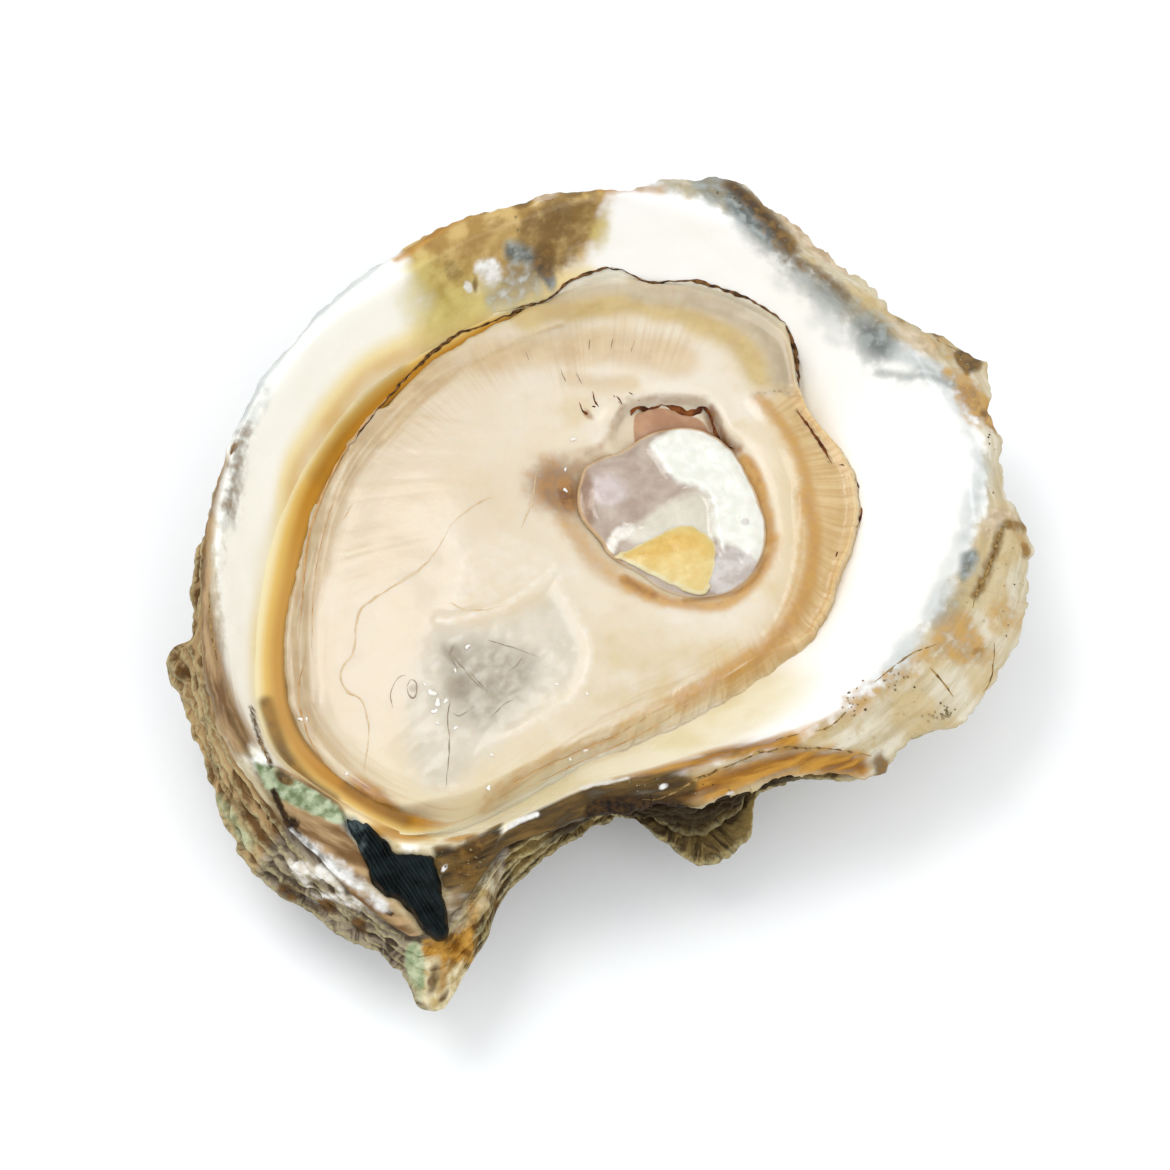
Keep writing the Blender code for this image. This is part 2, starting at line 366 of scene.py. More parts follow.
def painted(plan: Array, marks: Sequence[Mark]) -> Array:
    """The strongest cover of several marks at each point, and 0 with no marks.

    Args:
        plan: points whose last axis starts with x and y.
        marks: the marks, in any order.

    Returns:
        The cover, in the shape of plan without its last axis.
    """
    total = np.zeros(plan.shape[:-1])
    for mark in marks:
        low, high = mark.box()
        near = np.all((plan[..., :2] >= low) & (plan[..., :2] <= high), axis=-1)
        total[near] = np.maximum(total[near], mark.cover(plan[near]))
    return total


# ---- Meshes ----


def make_mesh(name: str, points: Array, faces: Sequence[Array], values: dict[str, Array]) -> bpy.types.Object:
    """A smooth-shaded object at the origin from whole arrays.

    Args:
        name: the piece's name.
        points: rows of x, y and z in millimetres.
        faces: arrays of corner numbers, each of three or four columns.
        values: one number for each point, by the name that a finish reads it by.

    Returns:
        The new object, linked to the scene.
    """
    mesh = bpy.data.meshes.new(name)
    corners = np.concatenate([block.ravel() for block in faces]).astype(np.int32)
    sizes = np.concatenate([np.full(len(block), block.shape[1]) for block in faces])
    starts = np.concatenate([[0], np.cumsum(sizes)[:-1]]).astype(np.int32)
    mesh.vertices.add(len(points))
    mesh.vertices.foreach_set("co", (points * MM).astype(np.float32).ravel())
    mesh.loops.add(len(corners))
    mesh.loops.foreach_set("vertex_index", corners)
    mesh.polygons.add(len(sizes))
    mesh.polygons.foreach_set("loop_start", starts)
    mesh.polygons.foreach_set("use_smooth", np.ones(len(sizes), bool))
    mesh.update(calc_edges=True)
    mesh.validate()
    for key, value in values.items():
        layer = mesh.attributes.new(key, "FLOAT", "POINT")
        layer.data.foreach_set("value", value.astype(np.float32).ravel())
    piece = bpy.data.objects.new(name, mesh)
    bpy.context.scene.collection.objects.link(piece)
    return piece


def placed(piece: bpy.types.Object, node: str, slot: str) -> bpy.types.Object:
    """Puts a piece on the one body, in place of a node of the part.

    Args:
        piece: the piece.
        node: the node that it takes the place of.
        slot: not used.

    Returns:
        The same piece.
    """
    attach(piece, "root")
    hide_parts(node)
    return piece


def ring_faces(rings: int, sides: int, first: int = 0) -> Array:
    """Four-cornered faces between neighbouring closed rings of points, numbered ring by ring.

    Args:
        rings: how many rings.
        sides: how many points are in each.
        first: the number of the first point.

    Returns:
        Rows of four corner numbers.
    """
    low = np.arange(rings - 1)[:, None] * sides + np.arange(sides)[None, :] + first
    right = np.arange(rings - 1)[:, None] * sides + (np.arange(sides)[None, :] + 1) % sides + first
    return np.stack([low, right, right + sides, low + sides], axis=-1).reshape(-1, 4)


def outward(points: Array, faces: list[Array]) -> list[Array]:
    """Turns every face round if the closed surface that they make holds a negative volume.

    Args:
        points: rows of x, y and z.
        faces: arrays of corner numbers.

    Returns:
        The faces, pointing outwards.
    """
    volume = 0.0
    for block in faces:
        a, b, c = (points[block[:, k]] for k in range(3))
        volume += float(np.einsum("ij,ij->", a, np.cross(b, c)))
        if block.shape[1] == 4:
            d = points[block[:, 3]]
            volume += float(np.einsum("ij,ij->", a, np.cross(c, d)))
    return faces if volume > 0 else [block[:, ::-1] for block in faces]


def closed_body(grid: Array) -> tuple[Array, list[Array]]:
    """Points and faces of a closed body through rings of points, with a pole at each end.

    Args:
        grid: points of shape rings by sides by 3.

    Returns:
        The points, then the arrays of faces.
    """
    rings, sides = grid.shape[:2]
    points = np.concatenate([grid.reshape(-1, 3), grid[0].mean(0)[None], grid[-1].mean(0)[None]])
    here = np.arange(sides)
    after = (here + 1) % sides
    low_pole, high_pole = rings * sides, rings * sides + 1
    top = (rings - 1) * sides
    faces = [
        ring_faces(rings, sides),
        np.stack([after, here, np.full(sides, low_pole)], axis=1),
        np.stack([here + top, after + top, np.full(sides, high_pole)], axis=1),
    ]
    return points, outward(points, faces)


def capped_rings(name: str, grid: Array, values: dict[str, Array] | None = None) -> bpy.types.Object:
    """A closed body through rings of points, with a pole in the middle of the first and of the last.

    Args:
        name: the piece's name.
        grid: points of shape rings by sides by 3.
        values: for each name, numbers of shape rings by sides.

    Returns:
        The new object.
    """
    points, faces = closed_body(grid)
    layers = {}
    for key, value in (values or {}).items():
        layers[key] = np.concatenate([value.ravel(), [value[0].mean(), value[-1].mean()]])
    return make_mesh(name, points, faces, layers)


def many_bodies(name: str, grids: Sequence[Array]) -> bpy.types.Object:
    """One mesh of several closed bodies, each through its own rings of points.

    Args:
        name: the piece's name.
        grids: points of shape rings by sides by 3, one array for each body.

    Returns:
        The new object.
    """
    points, faces, first = [], [], 0
    for grid in grids:
        own_points, own_faces = closed_body(grid)
        points.append(own_points)
        faces += [block + first for block in own_faces]
        first += len(own_points)
    return make_mesh(name, np.concatenate(points), faces, {})


def looped_rings(name: str, grid: Array, values: dict[str, Array]) -> bpy.types.Object:
    """A closed ring-shaped body through rings of points, the last of which joins the first.

    Args:
        name: the piece's name.
        grid: points of shape rings by sides by 3.
        values: for each name, numbers of shape rings by sides.

    Returns:
        The new object.
    """
    rings, sides = grid.shape[:2]
    points = grid.reshape(-1, 3)
    faces = ring_faces(rings + 1, sides) % (rings * sides)
    return make_mesh(name, points, outward(points, [faces]), values)


def many_grains(name: str, centres: Array, sizes: Array, seed: int) -> bpy.types.Object:
    """One mesh of small uneven eight-faced grains, each a stretched and turned octahedron.

    Args:
        name: the piece's name.
        centres: one row of x, y and z for each grain.
        sizes: half lengths along three axes, one row for each grain.
        seed: for the turns.

    Returns:
        The new object.
    """
    rng = np.random.default_rng(seed)
    tips = np.array([[1, 0, 0], [0, 1, 0], [-1, 0, 0], [0, -1, 0], [0, 0, 1], [0, 0, -1]], float)
    sides = np.array([[0, 1, 4], [1, 2, 4], [2, 3, 4], [3, 0, 4], [1, 0, 5], [2, 1, 5], [3, 2, 5], [0, 3, 5]])
    turn = rng.uniform(0, 2 * np.pi, len(centres))
    uneven = rng.uniform(0.75, 1.25, (len(centres), 6, 1))
    local = tips[None] * uneven * sizes[:, None, :]
    x = local[..., 0] * np.cos(turn)[:, None] - local[..., 1] * np.sin(turn)[:, None]
    y = local[..., 0] * np.sin(turn)[:, None] + local[..., 1] * np.cos(turn)[:, None]
    points = np.stack([x, y, local[..., 2]], axis=-1) + centres[:, None, :]
    faces = sides[None] + 6 * np.arange(len(centres))[:, None, None]
    return make_mesh(name, points.reshape(-1, 3), [faces.reshape(-1, 3)], {})


def tube(path: Array, radius: Array, sides: int, flat: float = 1.0) -> Array:
    """Rings of a tube that follows a path: each ring is an oval across the path's own direction.

    Args:
        path: rows of x, y and z.
        radius: one radius for each row.
        sides: points in a ring.
        flat: the oval's height over its width.

    Returns:
        Points of shape rows by sides by 3.
    """
    ahead = np.gradient(path, axis=0)
    ahead /= np.linalg.norm(ahead, axis=1, keepdims=True)
    across = np.cross(ahead, [0.0, 0.0, 1.0])
    across /= np.linalg.norm(across, axis=1, keepdims=True)
    over = np.cross(across, ahead)
    turn = 2 * np.pi * np.arange(sides) / sides
    spoke = across[:, None] * np.cos(turn)[None, :, None] + flat * over[:, None] * np.sin(turn)[None, :, None]
    return path[:, None] + radius[:, None, None] * spoke


def surface_heights(piece: bpy.types.Object, plan: Array, missed: float = 15.0) -> Array:
    """Height in millimetres of a piece's highest face at each point in plan, or missed where it has none.

    Args:
        piece: the piece.
        plan: rows of x and y in millimetres.
        missed: the height to give outside the piece.

    Returns:
        One height for each row.
    """
    found = []
    for x, y in plan:
        hit, place, _, _ = piece.ray_cast((x * MM, y * MM, RAY_START), (0.0, 0.0, -1.0))
        found.append(place[2] / MM if hit else missed)
    return np.array(found)


def laid_path(
    points: Rows, under: Sequence[bpy.types.Object], step: float, wobble: float, seed: int
) -> Array:
    """An even chain of points that lies on pieces, along a slightly uneven curve.

    Args:
        points: the curve in plan.
        under: the pieces that it lies on.
        step: the distance between two of its points.
        wobble: how far it strays in plan.
        seed: for the straying.

    Returns:
        Rows of x, y, z and the length from the start.
    """
    curve = spline(points, spans=12)
    length = np.concatenate([[0], np.cumsum(np.hypot(*np.diff(curve[:, :2], axis=0).T))])
    rows = np.linspace(0, length[-1], max(int(length[-1] / step), 10))
    plan = np.stack([np.interp(rows, length, curve[:, k]) for k in (0, 1)], axis=-1)
    at = np.concatenate([plan, np.zeros((len(plan), 1))], axis=1)
    plan = plan + wobble * np.stack([Noise(seed).at(at, 1.0), Noise(seed + 1).at(at, 1.0)], axis=-1)
    found = np.maximum.reduce([surface_heights(piece, plan) for piece in under])
    found = np.convolve(np.pad(found, 4, mode="edge"), np.ones(9) / 9, mode="valid")
    return np.concatenate([plan, found[:, None], rows[:, None]], axis=1)


def grid_normals(grid: Array) -> Array:
    """Unit normals of rings of points: the step to the next ring crossed with the step round the ring.

    Args:
        grid: points of shape rings by sides by 3.

    Returns:
        Arrows of length 1, in the shape of grid.
    """
    along = np.gradient(grid, axis=0)
    around = np.roll(grid, -1, axis=1) - np.roll(grid, 1, axis=1)
    normal = np.cross(along, around)
    return normal / np.maximum(np.linalg.norm(normal, axis=-1, keepdims=True), 1e-9)


def softened(grid: Array, ring: int, reach: int, passes: int) -> Array:
    """Rings averaged with their neighbours, most at one ring and not at all beyond a reach from it.

    Args:
        grid: points of shape rings by sides by 3.
        ring: the number of the ring to soften most.
        reach: how many rings away it ends.
        passes: how many times it is done.

    Returns:
        The softened points.
    """
    share = ease(np.abs(np.arange(len(grid)) - ring), reach, 0)[:, None, None]
    for _ in range(passes):
        mean = grid.copy()
        mean[1:-1] = (grid[:-2] + 2 * grid[1:-1] + grid[2:]) / 4
        grid = grid + share * (mean - grid)
    return grid


def arc_length(grid: Array) -> Array:
    """Length in millimetres from the first ring to each ring, along the grid's own lines."""
    steps = np.linalg.norm(np.diff(grid, axis=0), axis=-1)
    return np.concatenate([np.zeros((1, grid.shape[1])), np.cumsum(steps, axis=0)])


def crowded_angles(count: int, centre: float, width: float, extra: float) -> Array:
    """Angles round a circle that stand closer together near one angle.

    The count of angles up to an angle is the integral of 1 plus a bell of height extra.

    Args:
        count: how many angles.
        centre: the angle in degrees where they are closest.
        width: the bell's width in degrees.
        extra: how many more there are at the centre, as a share.

    Returns:
        Rising angles in degrees from 0 to below 360.
    """
    fine = np.linspace(0, 360, 3601)
    density = 1 + extra * bell(fine - centre, width)
    total = np.concatenate([[0], np.cumsum((density[1:] + density[:-1]) / 2)])
    return np.interp(np.arange(count) / count * total[-1], total, fine)


def polar_rings(angles: Array, radius: Array, height: Array, centre: tuple[float, float]) -> Array:
    """Points from arrays of radius and height, with angles in degrees round a centre in plan.

    Args:
        angles: degrees.
        radius: one for each angle.
        height: one for each angle, or one for all.
        centre: x and y of the centre.

    Returns:
        Rows of x, y and z.
    """
    turn = np.radians(angles)
    x = centre[0] + radius * np.cos(turn)
    y = centre[1] + radius * np.sin(turn)
    return np.stack([x, y, np.broadcast_to(height, x.shape)], axis=-1)


def flat_ring(outline: Array, share: float = 1.0) -> Array:
    """A plan outline drawn in to a share about its middle, as points of height 0."""
    centre = outline.mean(0)
    return np.pad(centre + (outline - centre) * share, ((0, 0), (0, 1)))


def roughened(outline: Array, amount: float, size: float, seed: int) -> Array:
    """A plan outline moved a little each way by two noises of one size."""
    points = flat_ring(outline)
    return outline + amount * np.stack([Noise(seed + k).at(points, size) for k in (0, 1)], axis=-1)


def reliefs(plan: Array, table: Sequence[tuple[float, tuple[Mark, ...]]]) -> Array:
    """The sum of several rises, each a height and the marks that it has that height under."""
    return sum(height * painted(plan, marks) for height, marks in table)


def lumps(points: Array, rows: Rows) -> Array:
    """The sum of several noises, each row a height, a seed and a size, in millimetres."""
    return sum(height * Noise(seed).at(points, size) for height, seed, size in rows)


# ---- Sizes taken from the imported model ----

POLE = (0.0, 1.2)
MUSCLE_CENTRE = (8.1, 7.5)
LIQUOR_LEVEL = 15.9

CUP_EDGE = Outline((
    (5, 37.5, 22, 1.4), (30, 38, 22, 1.7), (55, 37.8, 22.5, 3.6), (80, 38.2, 23.5, 4), (104, 35.8, 24, 3.9),
    (122, 34.6, 24.5, 4), (140, 35.6, 24.5, 4), (165, 36.7, 24, 4.2), (190, 38.2, 23, 5),
    (208, 39.8, 20.8, 6), (222, 36.6, 17.6, 5), (240, 33, 16.2, 4), (257, 27, 18.6, 2.6),
    (270, 24.4, 20, 2.2), (290, 24.4, 21, 1.7), (315, 27.5, 21, 1.3), (340, 32, 21, 1.25),
))
RIM_EDGE = Outline((
    (0, 43.2, 18), (11, 41.2, 19), (28, 44.2, 20), (42, 39.6, 21), (58, 40.8, 21), (72, 43.2, 22),
    (86, 39.2, 24), (105, 38.1, 24.3), (135, 37.3, 25), (160, 38.2, 24.5), (185, 39.4, 22), (207, 41.5, 19),
    (226, 41, 16.6), (244, 42.2, 15.4), (249, 37, 15.6), (252, 31.2, 17.3), (262, 28.2, 18.5),
    (272, 26.6, 19), (290, 27.6, 18.6), (311, 30, 18), (322, 35, 16.2), (328, 34.8, 16.6), (335, 39.2, 16.4),
    (348, 42, 17),
))
SECOND_EDGE = Outline((
    (15, 39, 15), (45, 37.6, 16.5), (72, 39.6, 17.5), (100, 36.2, 19.5), (135, 35.6, 20.5), (165, 37.4, 19.6),
    (180, 40.2, 17.5), (190, 42, 15), (193, 44.6, 14), (197, 43.6, 14), (208, 44.2, 14), (222, 45.6, 11.2),
    (236, 44.2, 11), (244, 45.2, 11.6), (248.5, 47.8, 12), (251, 47, 12), (254, 33.4, 11), (258, 29.6, 10.2),
    (266, 26.6, 10.8), (275, 24.8, 11), (284, 27.4, 9.4), (290, 30.4, 8.6), (299, 30.2, 9), (306, 27.2, 11),
    (330, 31.5, 12.4), (350, 38, 13),
))
MEAT_EDGE = Outline((
    (1, 24.6), (12, 27), (24, 28.2), (38, 27.9), (46, 29.6), (58, 34.3), (72, 34.8), (87, 34), (102, 31.4),
    (121, 29.6), (142, 29.8), (160, 30.5), (178, 31.2), (194, 33.6), (211, 35.6), (228, 34.2), (240, 31.6),
    (248, 26.6), (256, 23), (265, 20.2), (277, 18.7), (290, 18), (304, 18.1), (318, 19), (332, 20.6),
    (343, 22.7),
))
MUSCLE_EDGE = Outline((
    (8, 7.9), (26, 7.7), (51, 8.4), (76, 9.1), (102, 9.1), (130, 8.7), (155, 10.5), (177, 10.1), (198, 8.5),
    (222, 8), (238, 7.7), (256, 8.4), (276, 9.2), (307, 9.9), (339, 9.1),
))
PIT_EDGE = Outline((
    (14, 9.3), (40, 9.5), (57, 9.4), (71, 11.5), (81, 12.4), (99, 12.7), (114, 12.8), (124, 12), (136, 11.2),
    (149, 13), (160, 14.6), (171, 14.5), (182, 12.6), (199, 11.7), (218, 11.5), (237, 11), (259, 10.6),
    (280, 11.1), (297, 11.6), (311, 11.5), (327, 10.9), (348, 10),
))


@dataclass(frozen=True)
class Cup:
    """The hollow of the shell, which everything else lies in."""

    floor: float = 4.5
    least_wall: float = 1.8

    def polar(self, plan: Array) -> tuple[Array, Array]:
        """Angle in degrees and radius of points in plan, round the cup's pole."""
        x, y = plan[..., 0] - POLE[0], plan[..., 1] - POLE[1]
        return np.degrees(np.arctan2(y, x)) % 360.0, np.hypot(x, y)

    def height(self, plan: Array) -> Array:
        """Height of the inner face: it rises as a power of the share of the way to the edge.

        Args:
            plan: points whose last axis starts with x and y.

        Returns:
            Millimetres above the ground.
        """
        angles, radius = self.polar(plan)
        share = np.clip(radius / CUP_EDGE.at(angles, 0), 0, 1.15)
        return self.floor + (CUP_EDGE.at(angles, 1) - self.floor) * share ** CUP_EDGE.at(angles, 2)

    def radius(self, angles: Array, height: Array) -> Array:
        """Radius at which the inner face reaches a height.

        Args:
            angles: degrees round the cup's pole.
            height: millimetres above the ground.

        Returns:
            Millimetres from the pole.
        """
        rise = CUP_EDGE.at(angles, 1) - self.floor
        share = np.clip((height - self.floor) / rise, 0, None) ** (1 / CUP_EDGE.at(angles, 2))
        return CUP_EDGE.at(angles, 0) * share

    def clear(self, angles: Array, radius: Array, height: Array) -> Array:
        """A radius kept one wall thickness outside the inner face."""
        least = self.radius(angles, height) + self.least_wall
        return np.where(height > self.floor + 1, np.maximum(radius, least), radius)


CUP = Cup()


# ---- Shader sums ----


class Wire:
    """One socket of a node tree, so that sums in a finish read as sums."""

    def __init__(self, sheet: "Sheet", socket: bpy.types.NodeSocket | None) -> None:
        """Wraps a socket of a sheet, or nothing for a node that ends a tree."""
        self.sheet = sheet
        self.socket = socket

    def reckon(self, operation: str, other: Any) -> "Wire":
        """A Math node that works on this wire and another value, in that order."""
        return self.sheet.node("ShaderNodeMath", {"operation": operation}, {0: self, 1: other})

    def __add__(self, other: Any) -> "Wire":
        """This plus another."""
        return self.reckon("ADD", other)

    __radd__ = __add__

    def __mul__(self, other: Any) -> "Wire":
        """This times another."""
        return self.reckon("MULTIPLY", other)

    __rmul__ = __mul__

    def __sub__(self, other: Any) -> "Wire":
        """This minus another."""
        return self.reckon("SUBTRACT", other)

    def __rsub__(self, other: Any) -> "Wire":
        """Another minus this."""
        return self.sheet.node("ShaderNodeMath", {"operation": "SUBTRACT"}, {0: other, 1: self})

    def step(self, low: float, high: float, start: float = 0.0, end: float = 1.0) -> "Wire":
        """A smooth step of this wire, from start up to low, to end from high."""
        inputs = {"Value": self, "From Min": low, "From Max": high, "To Min": start, "To Max": end}
        return self.sheet.node("ShaderNodeMapRange", {"interpolation_type": "SMOOTHSTEP"}, inputs)


class Grain(Enum):
    """Widths in millimetres of the noises that break up a finish."""

    FINE = 0.5
    SMALL = 1.1
    MIDDLE = 2.4
    BROAD = 6.0
    SLOW = 15.0


class Sheet:
    """The node tree of one finish."""

    def __init__(self, name: str) -> None:
        """Makes an empty material.

        Args:
            name: the material's name.
        """
        self.material = bpy.data.materials.new(name)
        self.material.use_nodes = True
        self.tree = self.material.node_tree
        self.tree.nodes.clear()
        self.kept: dict[Any, Wire] = {}

    def feed(self, socket: bpy.types.NodeSocket, value: Any) -> None:
        """Links a wire to a socket, or sets the socket to a number, a colour or a vector.

        Args:
            socket: an input of a node.
            value: what it is to hold.
        """
        if isinstance(value, Wire):
            self.tree.links.new(value.socket, socket)
        elif socket.type == "RGBA" and len(value) == 3:
            socket.default_value = (*value, 1.0)
        else:
            socket.default_value = value

    def node(self, kind: str, settings: dict[str, Any], inputs: dict[Any, Any], output: int = 0) -> Wire:
        """Any node.

        Args:
            kind: the node's type.
            settings: its own settings, which are set first.
            inputs: values or wires by the name or number of the socket.
            output: which of its outputs to give.

        Returns:
            That output.
        """
        made = self.tree.nodes.new(kind)
        for key, value in settings.items():
            setattr(made, key, value)
        for key, value in inputs.items():
            self.feed(made.inputs[key], value)
        return Wire(self, made.outputs[output] if made.outputs else None)

    def once(self, key: Any, make: Callable[[], Wire]) -> Wire:
        """A wire that is made the first time it is asked for, and shared after that.

        Args:
            key: tells one such wire from another.
            make: makes it.

        Returns:
            The wire.
        """
        if key not in self.kept:
            self.kept[key] = make()
        return self.kept[key]

    def read(self, name: str) -> Wire:
        """A value that the mesh holds at each point."""
        settings = {"attribute_name": name}
        return self.once(("read", name), lambda: self.node("ShaderNodeAttribute", settings, {}, 2))

    def place(self) -> Wire:
        """Object coordinates, in metres."""
        return self.once("place", lambda: self.node("ShaderNodeTexCoord", {}, {}, 3))

    def vector(self, operation: str, first: Any, second: Any) -> Wire:
        """A Vector Math node on two vectors."""
        return self.node("ShaderNodeVectorMath", {"operation": operation}, {0: first, 1: second})

    def noise(self, grain: Grain, where: Wire | None = None, detail: float = 3.0) -> Wire:
        """Noise of one grain, from 0 to 1 and mostly near a half.

        Args:
            grain: how wide it is.
            where: the vector that it is read at; the object's own place if not given.
            detail: how many finer layers it has.

        Returns:
            The noise.
        """
        inputs = {"Vector": where or self.place(), "Scale": 1 / (grain.value * MM), "Detail": detail}
        key = ("noise", grain, where.socket if where else None, detail)
        return self.once(key, lambda: self.node("ShaderNodeTexNoise", {}, inputs))

    def lines(self, across: str, stretch: float) -> Wire:
        """A vector whose noise runs in lines along a surface.

        It is the place drawn together by a share, with the length across the lines as its height.

        Args:
            across: the name of the value that counts millimetres across the lines.
            stretch: the share that is left of the other two lengths.

        Returns:
            The vector.
        """

        def make() -> Wire:
            """Adds the nodes."""
            flat = self.vector("MULTIPLY", self.place(), (stretch, stretch, 0.0))
            rise = self.node("ShaderNodeCombineXYZ", {}, {2: self.read(across) * MM})
            return self.vector("ADD", flat, rise)

        return self.once(("lines", across, stretch), make)

    def spokes(self, centre: tuple[float, float], radius: float) -> Wire:
        """A vector whose noise runs in spokes from a centre: each point is moved to a circle round it.

        Args:
            centre: x and y in millimetres.
            radius: that of the circle, in millimetres.

        Returns:
            The vector.
        """

        def make() -> Wire:
            """Adds the nodes."""
            middle = (centre[0] * MM, centre[1] * MM, 0.0)
            flat = self.vector("MULTIPLY", self.vector("SUBTRACT", self.place(), middle), (1.0, 1.0, 0.0))
            unit = self.node("ShaderNodeVectorMath", {"operation": "NORMALIZE"}, {0: flat})
            return self.vector("MULTIPLY", unit, (radius * MM,) * 3)

        return self.once(("spokes", centre, radius), make)

    def blend(self, share: Any, first: Any, second: Any) -> Wire:
        """A colour that goes from first, at share 0, to second, at share 1."""
        return self.node("ShaderNodeMix", {"data_type": "RGBA"}, {0: share, 6: first, 7: second}, 2)

    def close(
        self, colour: Any, rough: Any, height: Wire | None, body: "Body", extra: dict[str, Any]
    ) -> None:
        """Ends the tree in a Principled shader.

        Args:
            colour: the base colour.
            rough: the roughness.
            height: relief in millimetres, or None.
            body: what is the same all over.
            extra: further sockets of the shader, by name.
        """
        inputs = {"Base Color": colour, "Roughness": rough, **body.sockets(), **extra}
        if height is not None:
            bump = {"Height": height, "Distance": MM, "Strength": 1.0}
            inputs["Normal"] = self.node("ShaderNodeBump", {}, bump)
        shader = self.node("ShaderNodeBsdfPrincipled", {}, inputs)
        self.node("ShaderNodeOutputMaterial", {}, {0: shader})


@dataclass(frozen=True)
class Body:
    """What is the same all over a finish: how light goes into it, and its wet coat.

    Subsurface radius is in millimetres for red, green and blue.
    """

    subsurface: float = 0.0
    radius: Colour = (1.0, 0.6, 0.3)
    ior: float = 1.45
    coat: float = 0.0
    coat_rough: float = 0.05

    def sockets(self) -> dict[str, Any]:
        """The shader's sockets by name.

        Returns:
            Values by the name of the socket.
        """
        return {
            "Subsurface Weight": self.subsurface,
            "Subsurface Radius": self.radius,
            "Subsurface Scale": MM,
            "IOR": self.ior,
            "Coat Weight": self.coat,
            "Coat Roughness": self.coat_rough,
        }


@dataclass(frozen=True)
class Tint:
    """A stain laid over a finish where one of the mesh's values is strong.

    The value, plus ragged times a noise about 0, is stepped from low to high, and that is the stain's share.
    Its colour is mottled between light and dark by the same grain.
    """

    mask: str
    light: Colour
    dark: Colour
    grain: Grain = Grain.SMALL
    ragged: float = 0.4
    low: float = 0.1
    high: float = 0.9
    strength: float = 1.0
    streaky: bool = False

    def noise(self, sheet: Sheet, detail: float) -> Wire:
        """The stain's grain, drawn out along the growth lines where it is streaky."""
        return sheet.noise(self.grain, sheet.lines("lines", GROWTH) if self.streaky else None, detail)

    def share(self, sheet: Sheet) -> Wire:
        """How much of the stain shows, from 0 to 1.

        Args:
            sheet: the tree to build in.

        Returns:
            The share.
        """
        rough = (self.noise(sheet, 2.0) - 0.5) * (2 * self.ragged)
        value = sheet.read(self.mask)
        return (value + rough * value.step(0.0, 0.3)).step(self.low, self.high, 0.0, self.strength)

    def over(self, sheet: Sheet, colour: Wire) -> Wire:
        """The colour with the stain laid over it."""
        mottle = self.noise(sheet, 4.0).step(0.34, 0.66)
        return sheet.blend(self.share(sheet), colour, sheet.blend(mottle, self.dark, self.light))


@dataclass(frozen=True)
class Finish:
    """A finish: two base tones mottled by a grain, then stains, with a roughness and a fine relief."""

    name: str
    light: Colour
    dark: Colour
    grain: Grain = Grain.BROAD
    tints: tuple[Tint, ...] = ()
    rough: float = 0.3
    relief: tuple[tuple[Grain, float], ...] = ()
    body: Body = field(default_factory=Body)

    def base(self, sheet: Sheet) -> Wire:
        """The colour before the stains."""
        return sheet.blend(sheet.noise(self.grain).step(0.35, 0.65), self.dark, self.light)

    def detail(self, sheet: Sheet, colour: Wire) -> Wire:
        """What a finish adds over its stains; nothing here."""
        return colour

    def roughness(self, sheet: Sheet) -> Wire:
        """The roughness, a little uneven."""
        return sheet.noise(Grain.MIDDLE) * 0.1 + (self.rough - 0.05)

    def height(self, sheet: Sheet) -> Wire | None:
        """The fine relief in millimetres.

        Args:
            sheet: the tree to build in.

        Returns:
            The relief, or None if it is smooth.
        """
        total: Wire | None = None
        for grain, size in self.relief:
            part = sheet.noise(grain) * size
            total = part if total is None else total + part
        return total

    def extra(self, sheet: Sheet) -> dict[str, Any]:
        """Further sockets of the shader; none here."""
        return {}

    def make(self) -> bpy.types.Material:
        """Builds the material.

        Returns:
            The new material.
        """
        sheet = Sheet(self.name)
        colour = self.base(sheet)
        for tint in self.tints:
            colour = tint.over(sheet, colour)
        colour = self.detail(sheet, colour)
        sheet.close(colour, self.roughness(sheet), self.height(sheet), self.body, self.extra(sheet))
        return sheet.material


# ---- The shell's cup: pearl inside, rim, frill and hinge plate ----

NACRE_EDGE = Outline((
    (6, 38.3), (20, 40), (29, 39.4), (39, 37), (48, 36.3), (61, 37.4), (71, 38.9), (90, 39.3), (111, 38.6),
    (122, 39.6), (145, 40.3), (160, 39.6), (173, 37.9), (188, 37.8), (203, 39.8), (214, 39.7), (221, 36.6),
    (236, 35), (244, 30.9), (251, 30.3), (254, 28.1), (261, 25.7), (270, 24.1), (284, 23.8), (299, 24.3),
    (309, 26.2), (331, 30.2), (353, 34.4),
))
RAGGED = Outline((
    (0, 0.75), (60, 0.7), (90, 0.35), (170, 0.25), (200, 0.3), (225, 0.12), (250, 0.1), (270, 0.4),
    (320, 0.65),
))
SEAM = (-33.3, -20.3, -31.1, -24.5, -27.9, -28.7, -23.2, -32.4, -20.9, -33.8, -18.3, -37.2)
# LOWER_LINE: the step below the rim on the near side; the dark cord laid along it is a painted shadow line
LOWER_LINE = (3.9, -24.3, 6.8, -23.7, 13.7, -20.6, 16.7, -19.6, 19.7, -19.1, 26.7, -19.2)
PLATE = (-32.7, -21.3, -31, -20.9, -25.7, -23.9, -24.6, -27, -22.7, -29.5, -22.2, -31.8, -25.4, -30.7,
    -29.8, -26.6, -32.2, -22.5)
PAD = (-25.2, -24.9, -23.1, -25.6, -21.1, -27.3, -20.1, -28.7, -16.6, -29, -16, -30.1, -14.8, -36.2,
    -15.5, -37.5, -17, -36.7, -19.5, -33.6, -21, -32.9, -22.2, -31.8, -22.9, -29.8, -24, -28)

POOL_LINE = (-1, 33.4, -5.8, 32.6, -10.9, 30.8, -14.9, 28.6, -21.2, 23.6, -26.5, 17, -29.4, 12)

